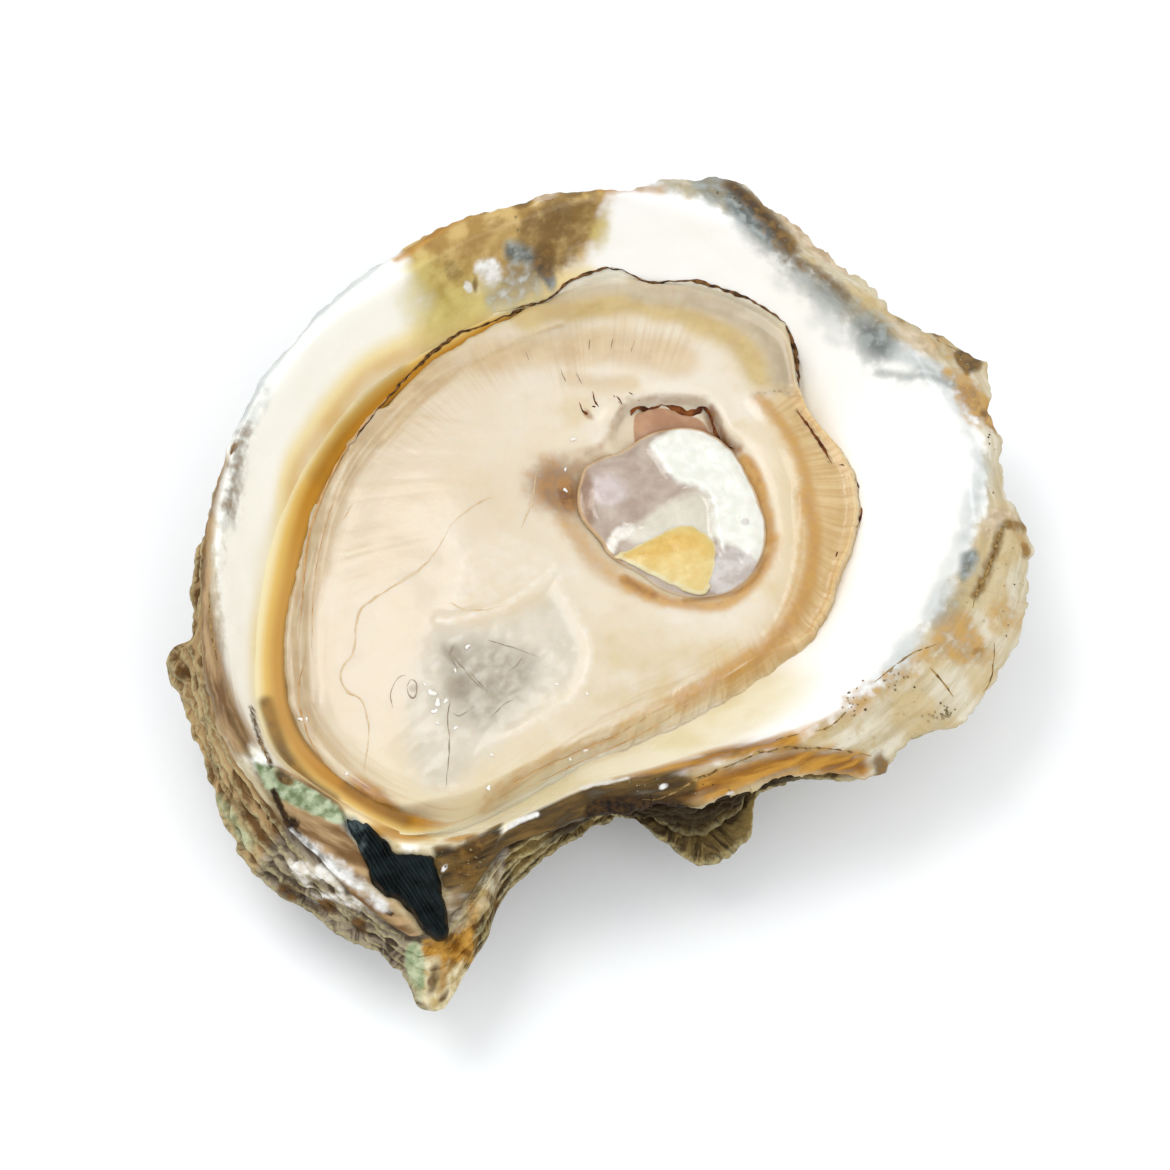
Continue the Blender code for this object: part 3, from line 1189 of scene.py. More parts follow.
SHELL_MARKS: dict[str, tuple[Mark, ...]] = {
    "olive": (Patch((-20.2, 33.7, -18.6, 35.7, -15.7, 38.1, -5.7, 41.6, 1.1, 42, 1.1, 40.1, -0.7, 36.6,
        -4.5, 34.3, -5.6, 33, -9.3, 32.4, -11.7, 32.4, -15.2, 29, -16.4, 29, -19.8, 32.1), 2.1),),
    "umber": (
        Spot(-7.9, 38.6, 1.3, 1, 20, 0.8), Spot(-2.9, 39.7, 1.9, 1.2, 10, 0.75),
        Spot(-1.9, 37.9, 1.4, 0.9, 40, 0.6), Spot(-6.7, 36.4, 2.6, 1.6, 40, 0.62),
        Spot(-5.6, 34.6, 1.8, 1.5, 50, 0.9), Spot(-4.4, 37, 3.6, 2.4, 30, 0.75),
        Streak((-1.6, 41, -0.9, 39.4, -2, 36.6, -4.4, 34.6), 1.1, 0.6), Spot(-12.1, 37.4, 0.9, 0.6, 0, 0.5),
        Spot(-10.9, 36.1, 1.6, 0.9, 20, 0.35), Spot(-15, 31.6, 1.3, 0.7, 20, 0.55),
        Spot(-17, 33, 1, 0.7, 0, 0.35), Spot(-12.8, 31.4, 0.35, 0.7, 0, 0.7),
        Patch((31.2, 26.9, 33.1, 27, 34.9, 26.2, 34.9, 25, 34.1, 24.5, 33.4, 25.4, 32, 25.9), 0.35, 0.8),
        Patch((36.3, 23.7, 37.4, 24, 39, 22.7, 38.5, 21.4, 37.1, 20.6, 36, 22.5), 0.5),
        Spot(38.9, 16.6, 0.7, 0.5, 60, 0.7), Spot(38.2, 15.7, 0.4, 0.3, 0, 0.6),
        Streak((41, 4.5, 40.2, 3.9, 39.7, 2.6, 39.1, 0.9, 38.4, -0.9, 37.8, -2.2, 37.2, -3.5), 0.7, 0.75),
        Spot(42, 4.6, 1.2, 0.9, 40, 0.6), Spot(42.6, 2.2, 0.7, 1, 0, 0.5), Spot(40.4, 4.1, 0.8, 0.5, 0, 0.6),
        Spot(37.4, -8.6, 0.8, 0.4, 20, 0.45), Streak((-35.4, 13, -36.1, 10.6, -36.4, 8, -37, 4.6), 1, 0.55),
        Spot(-36.5, 10.9, 0.7, 0.4, 60), Spot(-36.2, 12.6, 0.6, 0.4, 60, 0.6),
        Streak((-39.2, 5.2, -39.5, 2.2, -39.7, -1), 0.6, 0.9),
        Streak((16.6, 36.8, 19.7, 33.3, 21.7, 32.1, 25.3, 29), 0.7, 0.6),
        Streak((13.6, 41.4, 16, 39.2, 18.2, 36.6, 19.4, 34.2), 1.3, 0.95),
        Spot(30.9, 26.4, 1.4, 0.9, -40, 0.5), Spot(-12.6, -28.2, 2.2, 1.1, 30, 0.9),
        Spot(-13.2, -30.8, 1.8, 0.9, -20, 0.9), Spot(-30.9, -21.9, 1.2, 0.7, -30),
        Spot(13.9, -19.9, 1.4, 0.6, 20, 0.5), Spot(27.6, -19.8, 1.1, 1.3, 0, 0.8),
    ),
    "slate": (
        Patch((-12, 31.4, -8.6, 33.9, -5.3, 34.2, -5.6, 32.4, -7.7, 31, -9.7, 30.2, -11.6, 30), 1.2, 0.6),
        Streak((-9.2, 34.2, -7.3, 34.4, -6.1, 34, -5.1, 33.2), 0.8, 1),
        Patch((3.6, 40.5, 5.7, 42, 8.2, 42, 10, 41, 9.2, 39.4, 6.2, 39.4), 1.2, 0.45),
        Patch((9, 42.8, 12.4, 43.8, 14.6, 42.4, 14.1, 39.4, 11.8, 38.4, 9.6, 39.8), 1.3, 0.7),
        Patch((13.5, 42.3, 15.8, 40.5, 18.2, 38, 19.2, 34.8, 17.2, 34, 12.5, 38.6), 1.4, 0.95),
        Streak((18.6, 34.2, 21, 31.6, 24.2, 29.2, 27.4, 26, 28.4, 23.4), 1.5, 0.6),
        Patch((25.6, 27.4, 28.6, 26.6, 30.2, 24.2, 29.4, 22.4, 27.4, 22.8, 26, 25), 2, 0.95),
        Streak((28.3, 21.6, 31.3, 20.4, 32.9, 20.2, 35.7, 19), 0.7, 0.6),
        Streak((31.3, 20.4, 32.3, 21, 33.5, 20.7, 34.9, 19.8), 0.6, 0.5), Spot(31.4, 20.4, 0.6, 0.4, 0, 0.6),
        Patch((26.4, 22.6, 31.6, 22.4, 36, 19.6, 36.4, 15.6, 28.1, 20.1), 1.8, 0.26),
        Patch((35.9, 1, 37.3, 1.2, 37.6, 0, 36.1, -2.4, 35.5, -1.7, 35.6, -0.2), 0.7, 0.85),
        Patch((33.2, -4.9, 35.1, -2.8, 36.6, -2.4, 36.2, -4.3, 34.4, -6.4, 32.2, -7.2), 1, 0.5),
        Streak((36.8, 14, 38.1, 9.6, 38, 7.4, 36.6, 2.6), 1.3, 0.3),
        Streak((-33.6, 17, -35.5, 12.8, -36.1, 9.7, -36.5, 6.6, -37, 3.6), 1.2, 0.45),
        Streak((-37.2, 3.6, -37.6, 0, -37.8, -5, -37.2, -10), 0.9, 0.25),
        Spot(-24, -26.4, 2.2, 1.1, -40, 0.9), Spot(0.6, -22.6, 2.4, 0.7, 20, 0.5),
    ),
    "rust": (
        Streak((2, -22.5, 8.8, -20.9, 11.7, -19.8, 18.6, -18.6), 1.2, 0.9),
        Streak((6.8, -24.2, 17.7, -20.5, 21.7, -20, 25.6, -20), 1.1, 1),
        Streak((15, -19.2, 19, -18.2, 23, -16.3, 25.8, -14.7), 1, 0.4),
        Spot(-26.2, -22.4, 2.4, 0.8, -40, 0.7), Streak((-14, -33.8, -14.4, -36, -14.8, -38.6), 1, 0.4),
        Spot(-20, -26.8, 4, 0.8, -10, 0.7), Spot(-13.6, -27.2, 2, 0.7, 10, 0.6),
        Spot(15.9, 39.1, 2.2, 0.8, -40, 0.7), Streak((-1, 40.4, 1.5, 39.9, 3.6, 40.2, 6.2, 40.2), 0.8, 0.55),
        Streak((-20.6, 31.6, -17, 34.6, -13.2, 37.2), 0.6, 0.6),
    ),
    "ochre": (
        Streak((24.6, -14.4, 29.6, -11.8, 32.6, -9.4, 35.5, -8.2, 38.2, -8.8), 1.3, 0.45),
        Patch((38, 18.3, 39.6, 18.2, 40.8, 16.6, 40, 14.5, 38.8, 15.4, 37.9, 16.9), 0.6),
        Patch((34.3, 20.8, 36.7, 21.2, 38.4, 19.4, 38.2, 17.6, 34.9, 19.5), 0.9, 0.6),
        Patch((36.5, 17.7, 37.9, 17.4, 38.6, 15.2, 37.6, 14.6, 36.4, 16), 0.8, 0.4),
        Patch((33.6, 25.4, 36.6, 24.6, 36.4, 21.6, 33.4, 23), 1, 0.5), Spot(42.6, 2.5, 0.7, 0.6),
        Patch((39, -3.4, 42, -3.4, 41.6, -6.1, 38.6, -6.4), 1.1, 0.42),
        Patch((40.4, 5.8, 42.4, 5.6, 42.8, 3, 41, 3), 0.8, 0.5),
        Patch((33.4, -5.8, 35.9, -4.8, 37.9, -7.4, 38.6, -9, 37.6, -9.9, 35.6, -10, 32.6, -9.2), 0.9, 0.62),
        Spot(37.4, -8.3, 1.2, 0.9, 30, 0.7),
        Patch((35.9, 19.6, 38, 19.6, 39.6, 17.4, 39.4, 15.4, 37.4, 16, 36, 17.6), 0.9, 0.9),
    ),
    "rosy": (
        Patch((18.4, 38.6, 20.7, 38.2, 23.2, 36.8, 25.4, 34.6, 25.8, 31.6, 23.2, 32.8, 20.6, 35), 0.9, 0.9),
        Spot(-5.5, 39.1, 1.5, 0.7, 15, 0.95),
        Patch((38.6, 5.4, 40.3, 6.6, 41.6, 5.6, 40.2, 4.4, 38.4, 1.6, 37.8, 3.4), 0.8, 0.7),
        Spot(-14.2, -34.2, 0.9, 1.9, 0, 0.9), Spot(-36.9, -18.6, 2.2, 0.8, -60, 0.5),
        Patch((29.6, 26.6, 32.6, 25.4, 34.6, 22.6, 34, 21.6, 31, 23, 29.4, 24.8), 1.2, 0.6),
    ),
    "moss": (
        Patch((-19.6, 30.4, -17.7, 31.6, -15.3, 31, -11.9, 31.4, -11, 29.4, -17, 26.2, -19, 27.8), 3.6),
        Spot(0.2, 37.2, 2, 1.2, 60, 0.5), Streak((-18, 25.6, -14, 28, -9.6, 30.2, -5, 32.4), 0.9, 0.5),
    ),
    "plate": (
        Patch(PLATE, 0.6), Streak((-32.4, -25.4, -29.6, -29, -26, -31.8, -22, -34.2, -18.8, -37), 1.5, 0.9),
        Streak((-38.4, 9.4, -39.4, 5, -39.9, 0, -39.5, -5, -37.4, -13.6, -35.2, -18.4), 1.7, 0.95),
    ),
    "fern": (Patch((-33.4, -20.3, -25.7, -24.4, -25.5, -26.1, -29.4, -24.8, -31.6, -23.6, -33.2, -22), 0.6),),
    "chalk": (
        # the blister's own white, with a painted highlight on it, this line and the next
        Patch((-12.8, 32.2, -11.9, 33.2, -10.7, 33.4, -9.9, 32.8, -10.3, 31.9, -11.3, 31.5), 0.7, 0.85),
        Spot(-13.5, 31, 0.5, 0.45),
        Patch((-12, 31.6, -8.6, 33.9, -6.3, 33.6, -6, 32.2, -7.7, 31, -9.7, 30.2, -11.6, 30), 1.6, 0.3),
        Streak((-30.4, -27.2, -27.5, -29, -25, -30.7, -23, -32.3, -21, -34), 0.95, 0.62),
        Streak((-28.8, -28.5, -26.4, -30.2, -23.6, -32), 0.3, 0.85), Spot(-15.2, -30.4, 0.6, 0.3, 60, 0.7),
        Spot(6.1, -23.3, 0.6, 0.3, 20, 0.7), Spot(12.7, -23.2, 0.6, 0.25, 20, 0.6),
        # painted highlights on the rim over the front notch, this line and the next
        Streak((-1.6, -23, 0.6, -22.5, 2.4, -22.1), 0.5, 0.8),
        Streak((-8.9, -26.6, -7.6, -26, -6.4, -25.6), 0.45, 0.9),
    ),
    "bark": (
        Streak((-31.8, -27.5, -28.6, -30.8, -25.4, -33.2, -22, -35.4, -19.2, -37.6), 1, 0.75),
        Patch((0, -23.3, 1.9, -22.2, 4.9, -21.8, 8.8, -22.3, 8.8, -24.2, 0.4, -24.6), 0.8, 0.8),
        Patch((-16.4, -28.6, -15.2, -28, -13.2, -28, -9.8, -25.8, -9.8, -28.4, -11.6, -31, -13.8, -32.4,
            -15.3, -32.5), 0.7, 0.9),
        Streak((-12.4, -36.6, -12.8, -33, -11.8, -30.8, -9.6, -28.6, -2, -24.6), 1, 0.7),
        Streak((-36.6, -15.6, -34.8, -19, -33.4, -21.6, -31.6, -24.6, -29, -28), 0.5, 0.5),
    ),
    "crack_and_notch_shade": (
        # painted shade: the dark hollow under the rim over the front notch
        Patch((-0.6, -24.4, 8, -24.4, 9.4, -26.4, 4, -27.4, -0.8, -27), 0.6),
        Streak((-34.5, -14, -33.6, -17.3, -32.6, -19.6, -32.2, -21), 0.35, 0.6),
        Streak((-32, -23, -30.4, -26.1, -28.2, -28.4, -25.6, -30.6), 0.35, 0.9), Spot(-30.4, -26.1, 1, 0.7),
        Spot(-20.6, -34.6, 0.6, 0.3, -40, 0.7), Spot(-14.9, -37, 0.9, 0.5),
    ),
}
CUP_RELIEF = (
    (-0.7, (Patch(PAD, 0.35),)), (-0.5, (Streak(SEAM, 0.5),)), (0.45, (Patch(PLATE, 0.5),)),
    (-0.7, (Spot(-30.9, -21.9, 0.9, 0.5, -30), Spot(-13.4, -29.6, 1.6, 1, 20))),
    (0.35, (Spot(-11.1, 32.6, 1.6, 1, 10), Spot(12.6, 40.8, 2.2, 1.6, 0))),
    (0.2, (Spot(-5.5, 39.1, 1.6, 0.8, 15), Spot(-9, 35.5, 2.5, 2, 20))),
)


@dataclass(frozen=True)
class ShellCup:
    """The cup's inside with its rim, the frill round it, the hinge plate and the edge of the top layer.

    Sizes are in millimetres, and counts are of rings or of points round a ring. The rows of lip are steps
    out and up from the rim, and those of inward are a share of the edge's radius and a depth. The underside
    counts as bare shell, this far outside the pearl.
    """

    sides: int = 880
    hidden_rings: int = 7
    wall_rings: int = 44
    band_rings: int = 32
    bulge: float = 0.35
    bare: float = 6.0
    lip: Rows = ((0.06, -0.12), (0.08, -0.32), (-0.08, -0.62), (-0.6, -0.85))
    inward: Rows = ((0.985, 1.1), (0.93, 1.1), (0.86, 1.2), (0.7, 1.3), (0.5, 1.4), (0.2, 1.4))

    def wall(self, angles: Array) -> list[Array]:
        """Rings from the pole up to the cup's edge, evenly spaced by radius plus height.

        Args:
            angles: degrees round the cup's pole.

        Returns:
            The rings, from the pole outwards.
        """
        edge, height, power = (CUP_EDGE.at(angles, k) for k in range(3))
        rise = height - CUP.floor
        start = 0.55 + 0.25 * ease(power, 1.7, 4.4)
        rings = [start * (k + 0.6) / self.hidden_rings for k in range(self.hidden_rings)]
        low = edge * start + rise * start**power
        high = edge + rise
        for k in range(self.wall_rings + 1):
            goal = low + (high - low) * k / self.wall_rings
            share = np.ones_like(edge)
            for _ in range(14):
                value = edge * share + rise * share**power - goal
                share = np.clip(share - value / (edge + rise * power * share ** (power - 1)), 0.02, 1.0)
            rings.append(share)
        return [polar_rings(angles, edge * s, CUP.floor + rise * s**power, POLE) for s in rings]

    def rim(self, angles: Array) -> tuple[Array, Array]:
        """Radius and height of the rim's ragged edge.

        Args:
            angles: degrees round the cup's pole.

        Returns:
            The radius and the height at each angle.
        """
        rough = Noise(3).along(angles, 5.0, 4) + 0.5 * Noise(4).along(angles, 1.2, 2)
        radius = RIM_EDGE.at(angles, 0) + RAGGED.at(angles) * rough
        height = RIM_EDGE.at(angles, 1) + 0.45 * RAGGED.at(angles) * Noise(5).along(angles, 6.0, 3)
        return radius, height

    def band(self, angles: Array) -> list[Array]:
        """Rings from the cup's edge out to the rim's edge, in a low arch with soft ruffles.

        Args:
            angles: degrees round the cup's pole.

        Returns:
            The rings, from the cup outwards.
        """
        edge, height = CUP_EDGE.at(angles, 0), CUP_EDGE.at(angles, 1)
        far, far_height = self.rim(angles)
        frilled = ease(np.abs((angles + 180) % 360 - 180), 75, 50)
        rings = []
        for k in range(self.band_rings):
            t = (k + 1) / self.band_rings
            radius = edge + (far - edge) * t
            wave = 0.55 * t**2 * frilled * Noise(6).along(angles, 7.0, 2, row=0.8 * t)
            arch = self.bulge * 4 * t * (1 - t)
            rings.append(polar_rings(angles, radius, height + (far_height - height) * t + arch + wave, POLE))
        return rings

    def relief(self, grid: Array, out: Array, lines: Array) -> Array:
        """Height of the surface's own detail over the smooth shape, along its normal.

        Args:
            grid: the smooth points.
            out: distance outside the edge of the pearl.
            lines: length along the surface from the crest.

        Returns:
            Millimetres for each point.
        """
        angles, radius = CUP.polar(grid)
        stretched = np.stack([grid[..., 0] * 0.16, grid[..., 1] * 0.16, lines], axis=-1)
        bare = ease(out, -0.5, 1.0)
        total = lumps(grid, ((0.1, 11, 7.0), (0.05, 12, 2.5)))
        total += bare * 0.3 * Noise(13).layered(stretched, 2.2, 3)
        total += bare * lumps(grid, ((0.12, 14, 0.9), (0.16, 15, 3.0)))
        line = np.reshape(LOWER_LINE, (-1, 2))
        seam_angles, seam_radius = CUP.polar(line)
        step_radius = np.interp(angles, seam_angles, seam_radius)
        ledge = window(angles, 276, 281, 321, 326)
        total -= 0.5 * ledge * ease(radius - step_radius, -0.2, 0.3)
        return total + reliefs(grid, CUP_RELIEF)

    def creamy(self, grid: Array) -> Array:
        """Where the pearl is stained cream: along the meat on the near side, and above the liquor.

        Args:
            grid: points of the surface.

        Returns:
            A share from 0 to 1 for each point.
        """
        angles, radius = CUP.polar(grid)
        near = window(angles, 232, 250, 318, 345) * ease(radius - MEAT_EDGE.at(angles), 9.0, 1.5)
        left = window(angles, 95, 125, 225, 242) * ease(grid[..., 2], 19.5, 15.5)
        return np.maximum(0.95 * near, 0.6 * left)

    def painted_edge_shade(self, grid: Array) -> Array:
        """Painted shade: the soft grey band just inside the edge of the pearl on the right.

        Args:
            grid: points of the surface.

        Returns:
            A share for each point.
        """
        angles, radius = CUP.polar(grid)
        turned = (angles + 180) % 360
        where = window(turned, 138, 160, 228, 248)
        inside = NACRE_EDGE.at(angles) - radius - 0.6 - 0.8 * Noise(22).at(grid, 6.0)
        return where * bell(inside, 1.5) * (0.62 + 0.5 * Noise(23).at(grid, 4.0))

    def underside(self, angles: Array, edge: Array) -> list[Array]:
        """Rings from the lip back in below the cup's face, down to the pole.

        Args:
            angles: degrees round the cup's pole.
            edge: the points of the rim's edge.

        Returns:
            The rings, from the lip inwards.
        """
        rings = [edge + self.offset(angles, *step) for step in self.lip]
        for share, depth in self.inward:
            plan = polar_rings(angles, CUP_EDGE.at(angles, 0) * share + 0.5, 0.0, POLE)
            plan[..., 2] = np.minimum(CUP.height(plan), CUP_EDGE.at(angles, 1)) - depth
            rings.append(plan)
        return rings

    def offset(self, angles: Array, out: float, up: float) -> Array:
        """A step outward and upward at each angle."""
        turn = np.radians(angles)
        return np.stack([out * np.cos(turn), out * np.sin(turn), np.full_like(turn, up)], axis=-1)

    def build(self) -> bpy.types.Object:
        """Makes the piece with the values that its finish reads.

        Returns:
            The new piece.
        """
        angles = crowded_angles(self.sides, centre=232, width=22, extra=0.8)
        rings = self.wall(angles) + self.band(angles)
        crest = self.hidden_rings + self.wall_rings
        grid = softened(np.stack(rings), crest, reach=7, passes=14)
        lines = arc_length(grid) - arc_length(grid)[crest]
        polar_angles, radius = CUP.polar(grid)
        ragged = 0.9 * Noise(21).layered(grid, 3.0, 3)
        out = radius - NACRE_EDGE.at(polar_angles) + ragged
        normal = grid_normals(grid)
        faded = ease(np.arange(len(grid)), 2, 8)[:, None]
        grid = grid + normal * (faded * self.relief(grid, out, lines))[..., None]
        under = np.stack(self.underside(angles, grid[-1]))
        whole = np.concatenate([grid, under])
        rest = len(under)
        values = {"lines": np.concatenate([lines, lines[-1:] + 0.5 * np.arange(1, rest + 1)[:, None]])}
        values["frill"] = np.concatenate([out, np.full((rest, self.sides), self.bare)])
        whole_angles, whole_radius = CUP.polar(whole)
        reach = window(polar_angles[0], 98, 118, 236, 246)
        wider = window(whole_angles, 124, 140, 160, 176)
        beyond = whole_radius - MEAT_EDGE.at(whole_angles) - 1.1 * wider
        upper = painted(whole, (Streak(POOL_LINE, 1.5, 0.7),))
        values["pool"] = np.maximum(ease(beyond, 3.4, 0.2) * reach, upper)
        dry = ease(whole_radius - NACRE_EDGE.at(whole_angles), -0.7, 0.5)
        scorched = dry * window(whole_angles, 242, 252, 284, 296)
        values["creamy"] = self.creamy(whole)
        brim = ease(whole_radius - RIM_EDGE.at(whole_angles), -1.1, 0.0) * ease(whole_angles, 118, 128)
        # painted grey shade: the band inside the pearl's edge on the right, and a strip just inside the rim
        # on the upper left
        values["painted_edge_shade"] = np.maximum(self.painted_edge_shade(whole), 0.9 * brim * ease(whole_angles, 168, 158))
        for key, marks in SHELL_MARKS.items():
            values[key] = painted(whole, marks)
            values[key][-len(self.inward) :] = 0.0
        values["bark"] = np.maximum(values["bark"], 0.8 * scorched)
        shade = window(polar_angles[0], 100, 135, 205, 250)
        values["shade"] = shade + np.zeros(whole.shape[:2])
        return placed(capped_rings("shell_cup", whole, values), "shell", "shell")


# ---- The shell's outer layers, from under the rim down to the foot ----

OUTSIDE_MARKS: dict[str, tuple[Mark, ...]] = {
    "umber": (
        Spot(-16.2, -40.4, 0.7, 1.5, -10), Spot(-15.5, -42.2, 0.6, 0.5), Spot(-30.8, -31.2, 1.5, 0.7, -20),
        Spot(-26.8, -32.9, 1.5, 0.6, -20), Spot(-23.6, -35, 1.3, 0.6, -20), Spot(-14.6, -36.9, 0.8, 0.5),
        Spot(-10.5, -33, 0.9, 0.7), Spot(-37, -22.3, 0.9, 0.6, -50, 0.8),
        Spot(-35, -24.2, 0.9, 0.5, -50, 0.8), Spot(-33.4, -26.2, 0.9, 0.5, -50, 0.8),
        Spot(-41.6, -9.6, 0.9, 0.8, 0, 0.9), Spot(-42.6, -6.8, 0.7, 0.9, 0, 0.8),
    ),
    "chalk": (
        Streak((-29.5, -29.4, -27.5, -30.4, -25, -31.8, -22.8, -33.4, -20.4, -35), 0.5, 0.9),
        Streak((-30.6, -29, -28.3, -31.4, -26.1, -32.4, -23.6, -33.6), 0.3, 0.7),
    ),
    "ochre": (
        Patch((-17.1, -36.9, -15.6, -36.9, -13.7, -36, -12.5, -36.4, -13, -38.9, -17.1, -38.4), 0.5),
        Streak((-15.2, -38.6, -15.4, -41), 0.6, 0.7),
        Streak((-13.2, -31, -12.4, -34, -12.8, -36.6), 0.9, 0.6),
    ),
    "fern": (
        Patch((-19.1, -38.1, -18.1, -37.1, -17.2, -38.9, -17.3, -42.4, -18.6, -40.4), 0.4),
        Streak((-37.6, -22.4, -36.2, -24.5, -34.7, -26.5), 0.9, 0.6),
    ),
    "pale": (
        Patch((-18.2, -37.6, -16, -38.6, -13.3, -39, -13.2, -41.8, -16, -43.6, -18.4, -41), 0.5),
        Patch((-13.4, -36, -13.3, -32.6, -11.8, -30.4, -10.4, -29.6, -11.4, -33.4), 0.6, 0.8),
    ),
}


@dataclass(frozen=True)
class ShellLayers:
    """The stacked lips of shell below the rim, the beak, and the flat foot.

    Sizes are in millimetres, and counts are of rings or of points round a ring. A row of lip is one ring:
    its share of the way from root to edge, a step back, its height in depths of the lip, and how worn it is.
    """

    sides: int = 1040
    upper_lips: int = 5
    lower_shares: tuple[float, ...] = (0.86, 0.73, 0.6, 0.48, 0.36, 0.25, 0.13)
    lip: Rows = (
        (0.0, 0.0, 0.25, 0.0), (0.45, 0.0, 0.3, 0.5), (0.8, 0.0, 0.22, 0.85), (1.0, 0.12, 0.0, 1.0),
        (1.0, 0.0, -0.3, 1.0), (1.0, 0.25, -0.75, 0.75), (0.45, 0.0, -1.0, 0.25),
    )
    lip_depth: float = 0.85
    root_depth: float = 1.9
    foot_share: float = 0.38

    def outside(self, angles: Array, height: Array) -> Array:
        """Radius of the body below the upper lips, at a height.

        Args:
            angles: degrees round the cup's pole.
            height: millimetres above the ground.

        Returns:
            Millimetres from the pole.
        """
        rim, second = RIM_EDGE.at(angles, 0), SECOND_EDGE.at(angles, 0)
        top = SECOND_EDGE.at(angles, 1) - 2.4
        top_radius = CUP.clear(angles, np.minimum(rim, second) - 3.6, top)
        roundness = 1 + 0.2 * np.clip(CUP_EDGE.at(angles, 2) - 1.3, 0, 4)
        foot = self.foot_share * rim
        share = np.clip(height / top, 0, 1) ** (1 / roundness)
        return CUP.clear(angles, foot + (top_radius - foot) * share, height)

    def hollow(self, angles: Array) -> Array:
        """Where the upper lips are tucked under the rim, over the shelf on the near side: 1 there, else 0."""
        return window(angles, 256, 264, 308, 318)

    def lips(self, angles: Array) -> list[tuple[Array, Array, Array]]:
        """Edge radius, root radius and height of each lip, from the top down.

        Args:
            angles: degrees round the cup's pole.

        Returns:
            Three arrays over the angles for each lip.
        """
        rim, rim_height = RIM_EDGE.at(angles, 0), RIM_EDGE.at(angles, 1)
        second, second_height = SECOND_EDGE.at(angles, 0), SECOND_EDGE.at(angles, 1)
        calm = 1 - 0.75 * bell(angles - 249, 4)
        hollow = self.hollow(angles)
        found = []
        for k in range(1, self.upper_lips + 1):
            level = (k / self.upper_lips) ** (1 / (1 + 1.2 * hollow))
            share = (k / self.upper_lips) ** (1 + 3 * hollow)
            wave = 0.5 * Noise(30 + k).along(angles, 9.0, 3) + 0.35 * Noise(40 + k).along(angles, 1.8, 3)
            tucked = 1.6 * hollow * (k < self.upper_lips)
            edge = rim + (second - rim) * share + calm * wave - tucked
            height = rim_height - 0.9 + (second_height - rim_height + 0.9) * level
            height = height + 0.35 * calm * Noise(50 + k).along(angles, 8.0, 2)
            above = ((k - 1) / self.upper_lips) ** (1 + 3 * hollow)
            inner = np.minimum(edge, rim - tucked + (second - rim) * above)
            root = CUP.clear(angles, inner - self.root_depth, height)
            found.append((edge, root, height))
        top = second_height - 2.2
        for k, share in enumerate(self.lower_shares):
            height = top * share + 0.5 * Noise(60 + k).along(angles, 11.0, 2)
            reach = 1 + 0.9 * Noise(70 + k).along(angles, 12.0, 2) + 0.3 * Noise(80 + k).along(angles, 2.0, 3)
            body = self.outside(angles, height)
            found.append((body + np.clip(reach, 0.25, 3.0), body - 0.7, height))
        return found

    def build(self) -> bpy.types.Object:
        """Makes the piece with the values that its finish reads.

        Returns:
            The new piece.
        """
        angles = crowded_angles(self.sides, centre=248, width=9, extra=2.2)
        rings: list[Array] = []
        tread: list[float] = []

        def add(radius: Array, height: Array, share: float) -> None:
            """Adds a ring with its share of the way from notch to edge."""
            rings.append(polar_rings(angles, radius, np.maximum(height, 0.0), POLE))
            tread.append(share)

        rim, rim_height = RIM_EDGE.at(angles, 0), RIM_EDGE.at(angles, 1)
        for share in (0.2, 0.5, 0.7, 0.86, 0.95):
            radius = CUP_EDGE.at(angles, 0) * share
            plan = polar_rings(angles, radius, 0.0, POLE)
            add(radius, CUP.height(plan) - 0.6, 0.0)
        under = CUP.height(polar_rings(angles, rim - 1.5, 0.0, POLE)) - 0.9
        add(rim - 1.5, np.minimum(rim_height - 0.72, under), 0.0)
        for edge, root, height in self.lips(angles):
            depth = np.minimum(self.lip_depth, 0.4 * height)
            reach = edge - root
            for share, back, up, worn in self.lip:
                add(root + share * reach - back, height + up * depth, worn)
        foot = self.foot_share * rim
        add(foot + 0.6, np.full_like(foot, 0.5), 0.4)
        add(foot, np.zeros_like(foot), 0.4)
        add(0.5 * foot, np.zeros_like(foot), 0.4)
        grid = np.stack(rings)
        treads = np.array(tread)[:, None] + np.zeros(grid.shape[:2])
        normal = grid_normals(grid)
        loose = ease(np.arange(len(grid)), 5, 8)[:, None] * ease(grid[..., 2], 0.05, 1.2)
        lump = lumps(grid, ((0.4, 91, 6.0), (0.22, 92, 2.2), (0.1, 93, 0.8)))
        lump += 0.6 * painted(grid, (Spot(-11.6, -34.4, 1.2, 2.4, -20), Spot(-42.2, -8.2, 1.0, 2.4, 0)))
        grid = grid + normal * (loose * lump)[..., None]
        grid[..., 2] = np.where(loose > 0, np.maximum(grid[..., 2], 0.03), grid[..., 2])
        grid[-2:, :, 2] = 0.0
        values = {"tread": treads, "lines": arc_length(grid)}
        values.update(self.regions(grid))
        return placed(capped_rings("shell_layers", grid, values), "shell", "shell")

    def regions(self, grid: Array) -> dict[str, Array]:
        """How much each point belongs to the tan, ash, olive and stained parts of the outside, and to the
        hollow under the rim, which is painted dark as shade.

        Args:
            grid: points of the surface.

        Returns:
            For each name, a share for each point.
        """
        angles, _ = CUP.polar(grid)
        wander = angles + 7 * Noise(95).at(grid, 9.0)
        near = {
            "tan": window(wander, 172, 184, 214, 226),
            "ash": window(wander, 214, 226, 246, 252),
            "olive": window(wander, 250, 256, 312, 330),
        }
        second_height = SECOND_EDGE.at(angles, 1)
        # painted shade: the lips tucked into the hollow under the rim on the near side are painted dark
        near["dark"] = self.hollow(angles) * ease(grid[..., 2], second_height + 0.2, second_height + 1.8)
        near.update({key: painted(grid, marks) for key, marks in OUTSIDE_MARKS.items()})
        return near


# ---- The meat ----

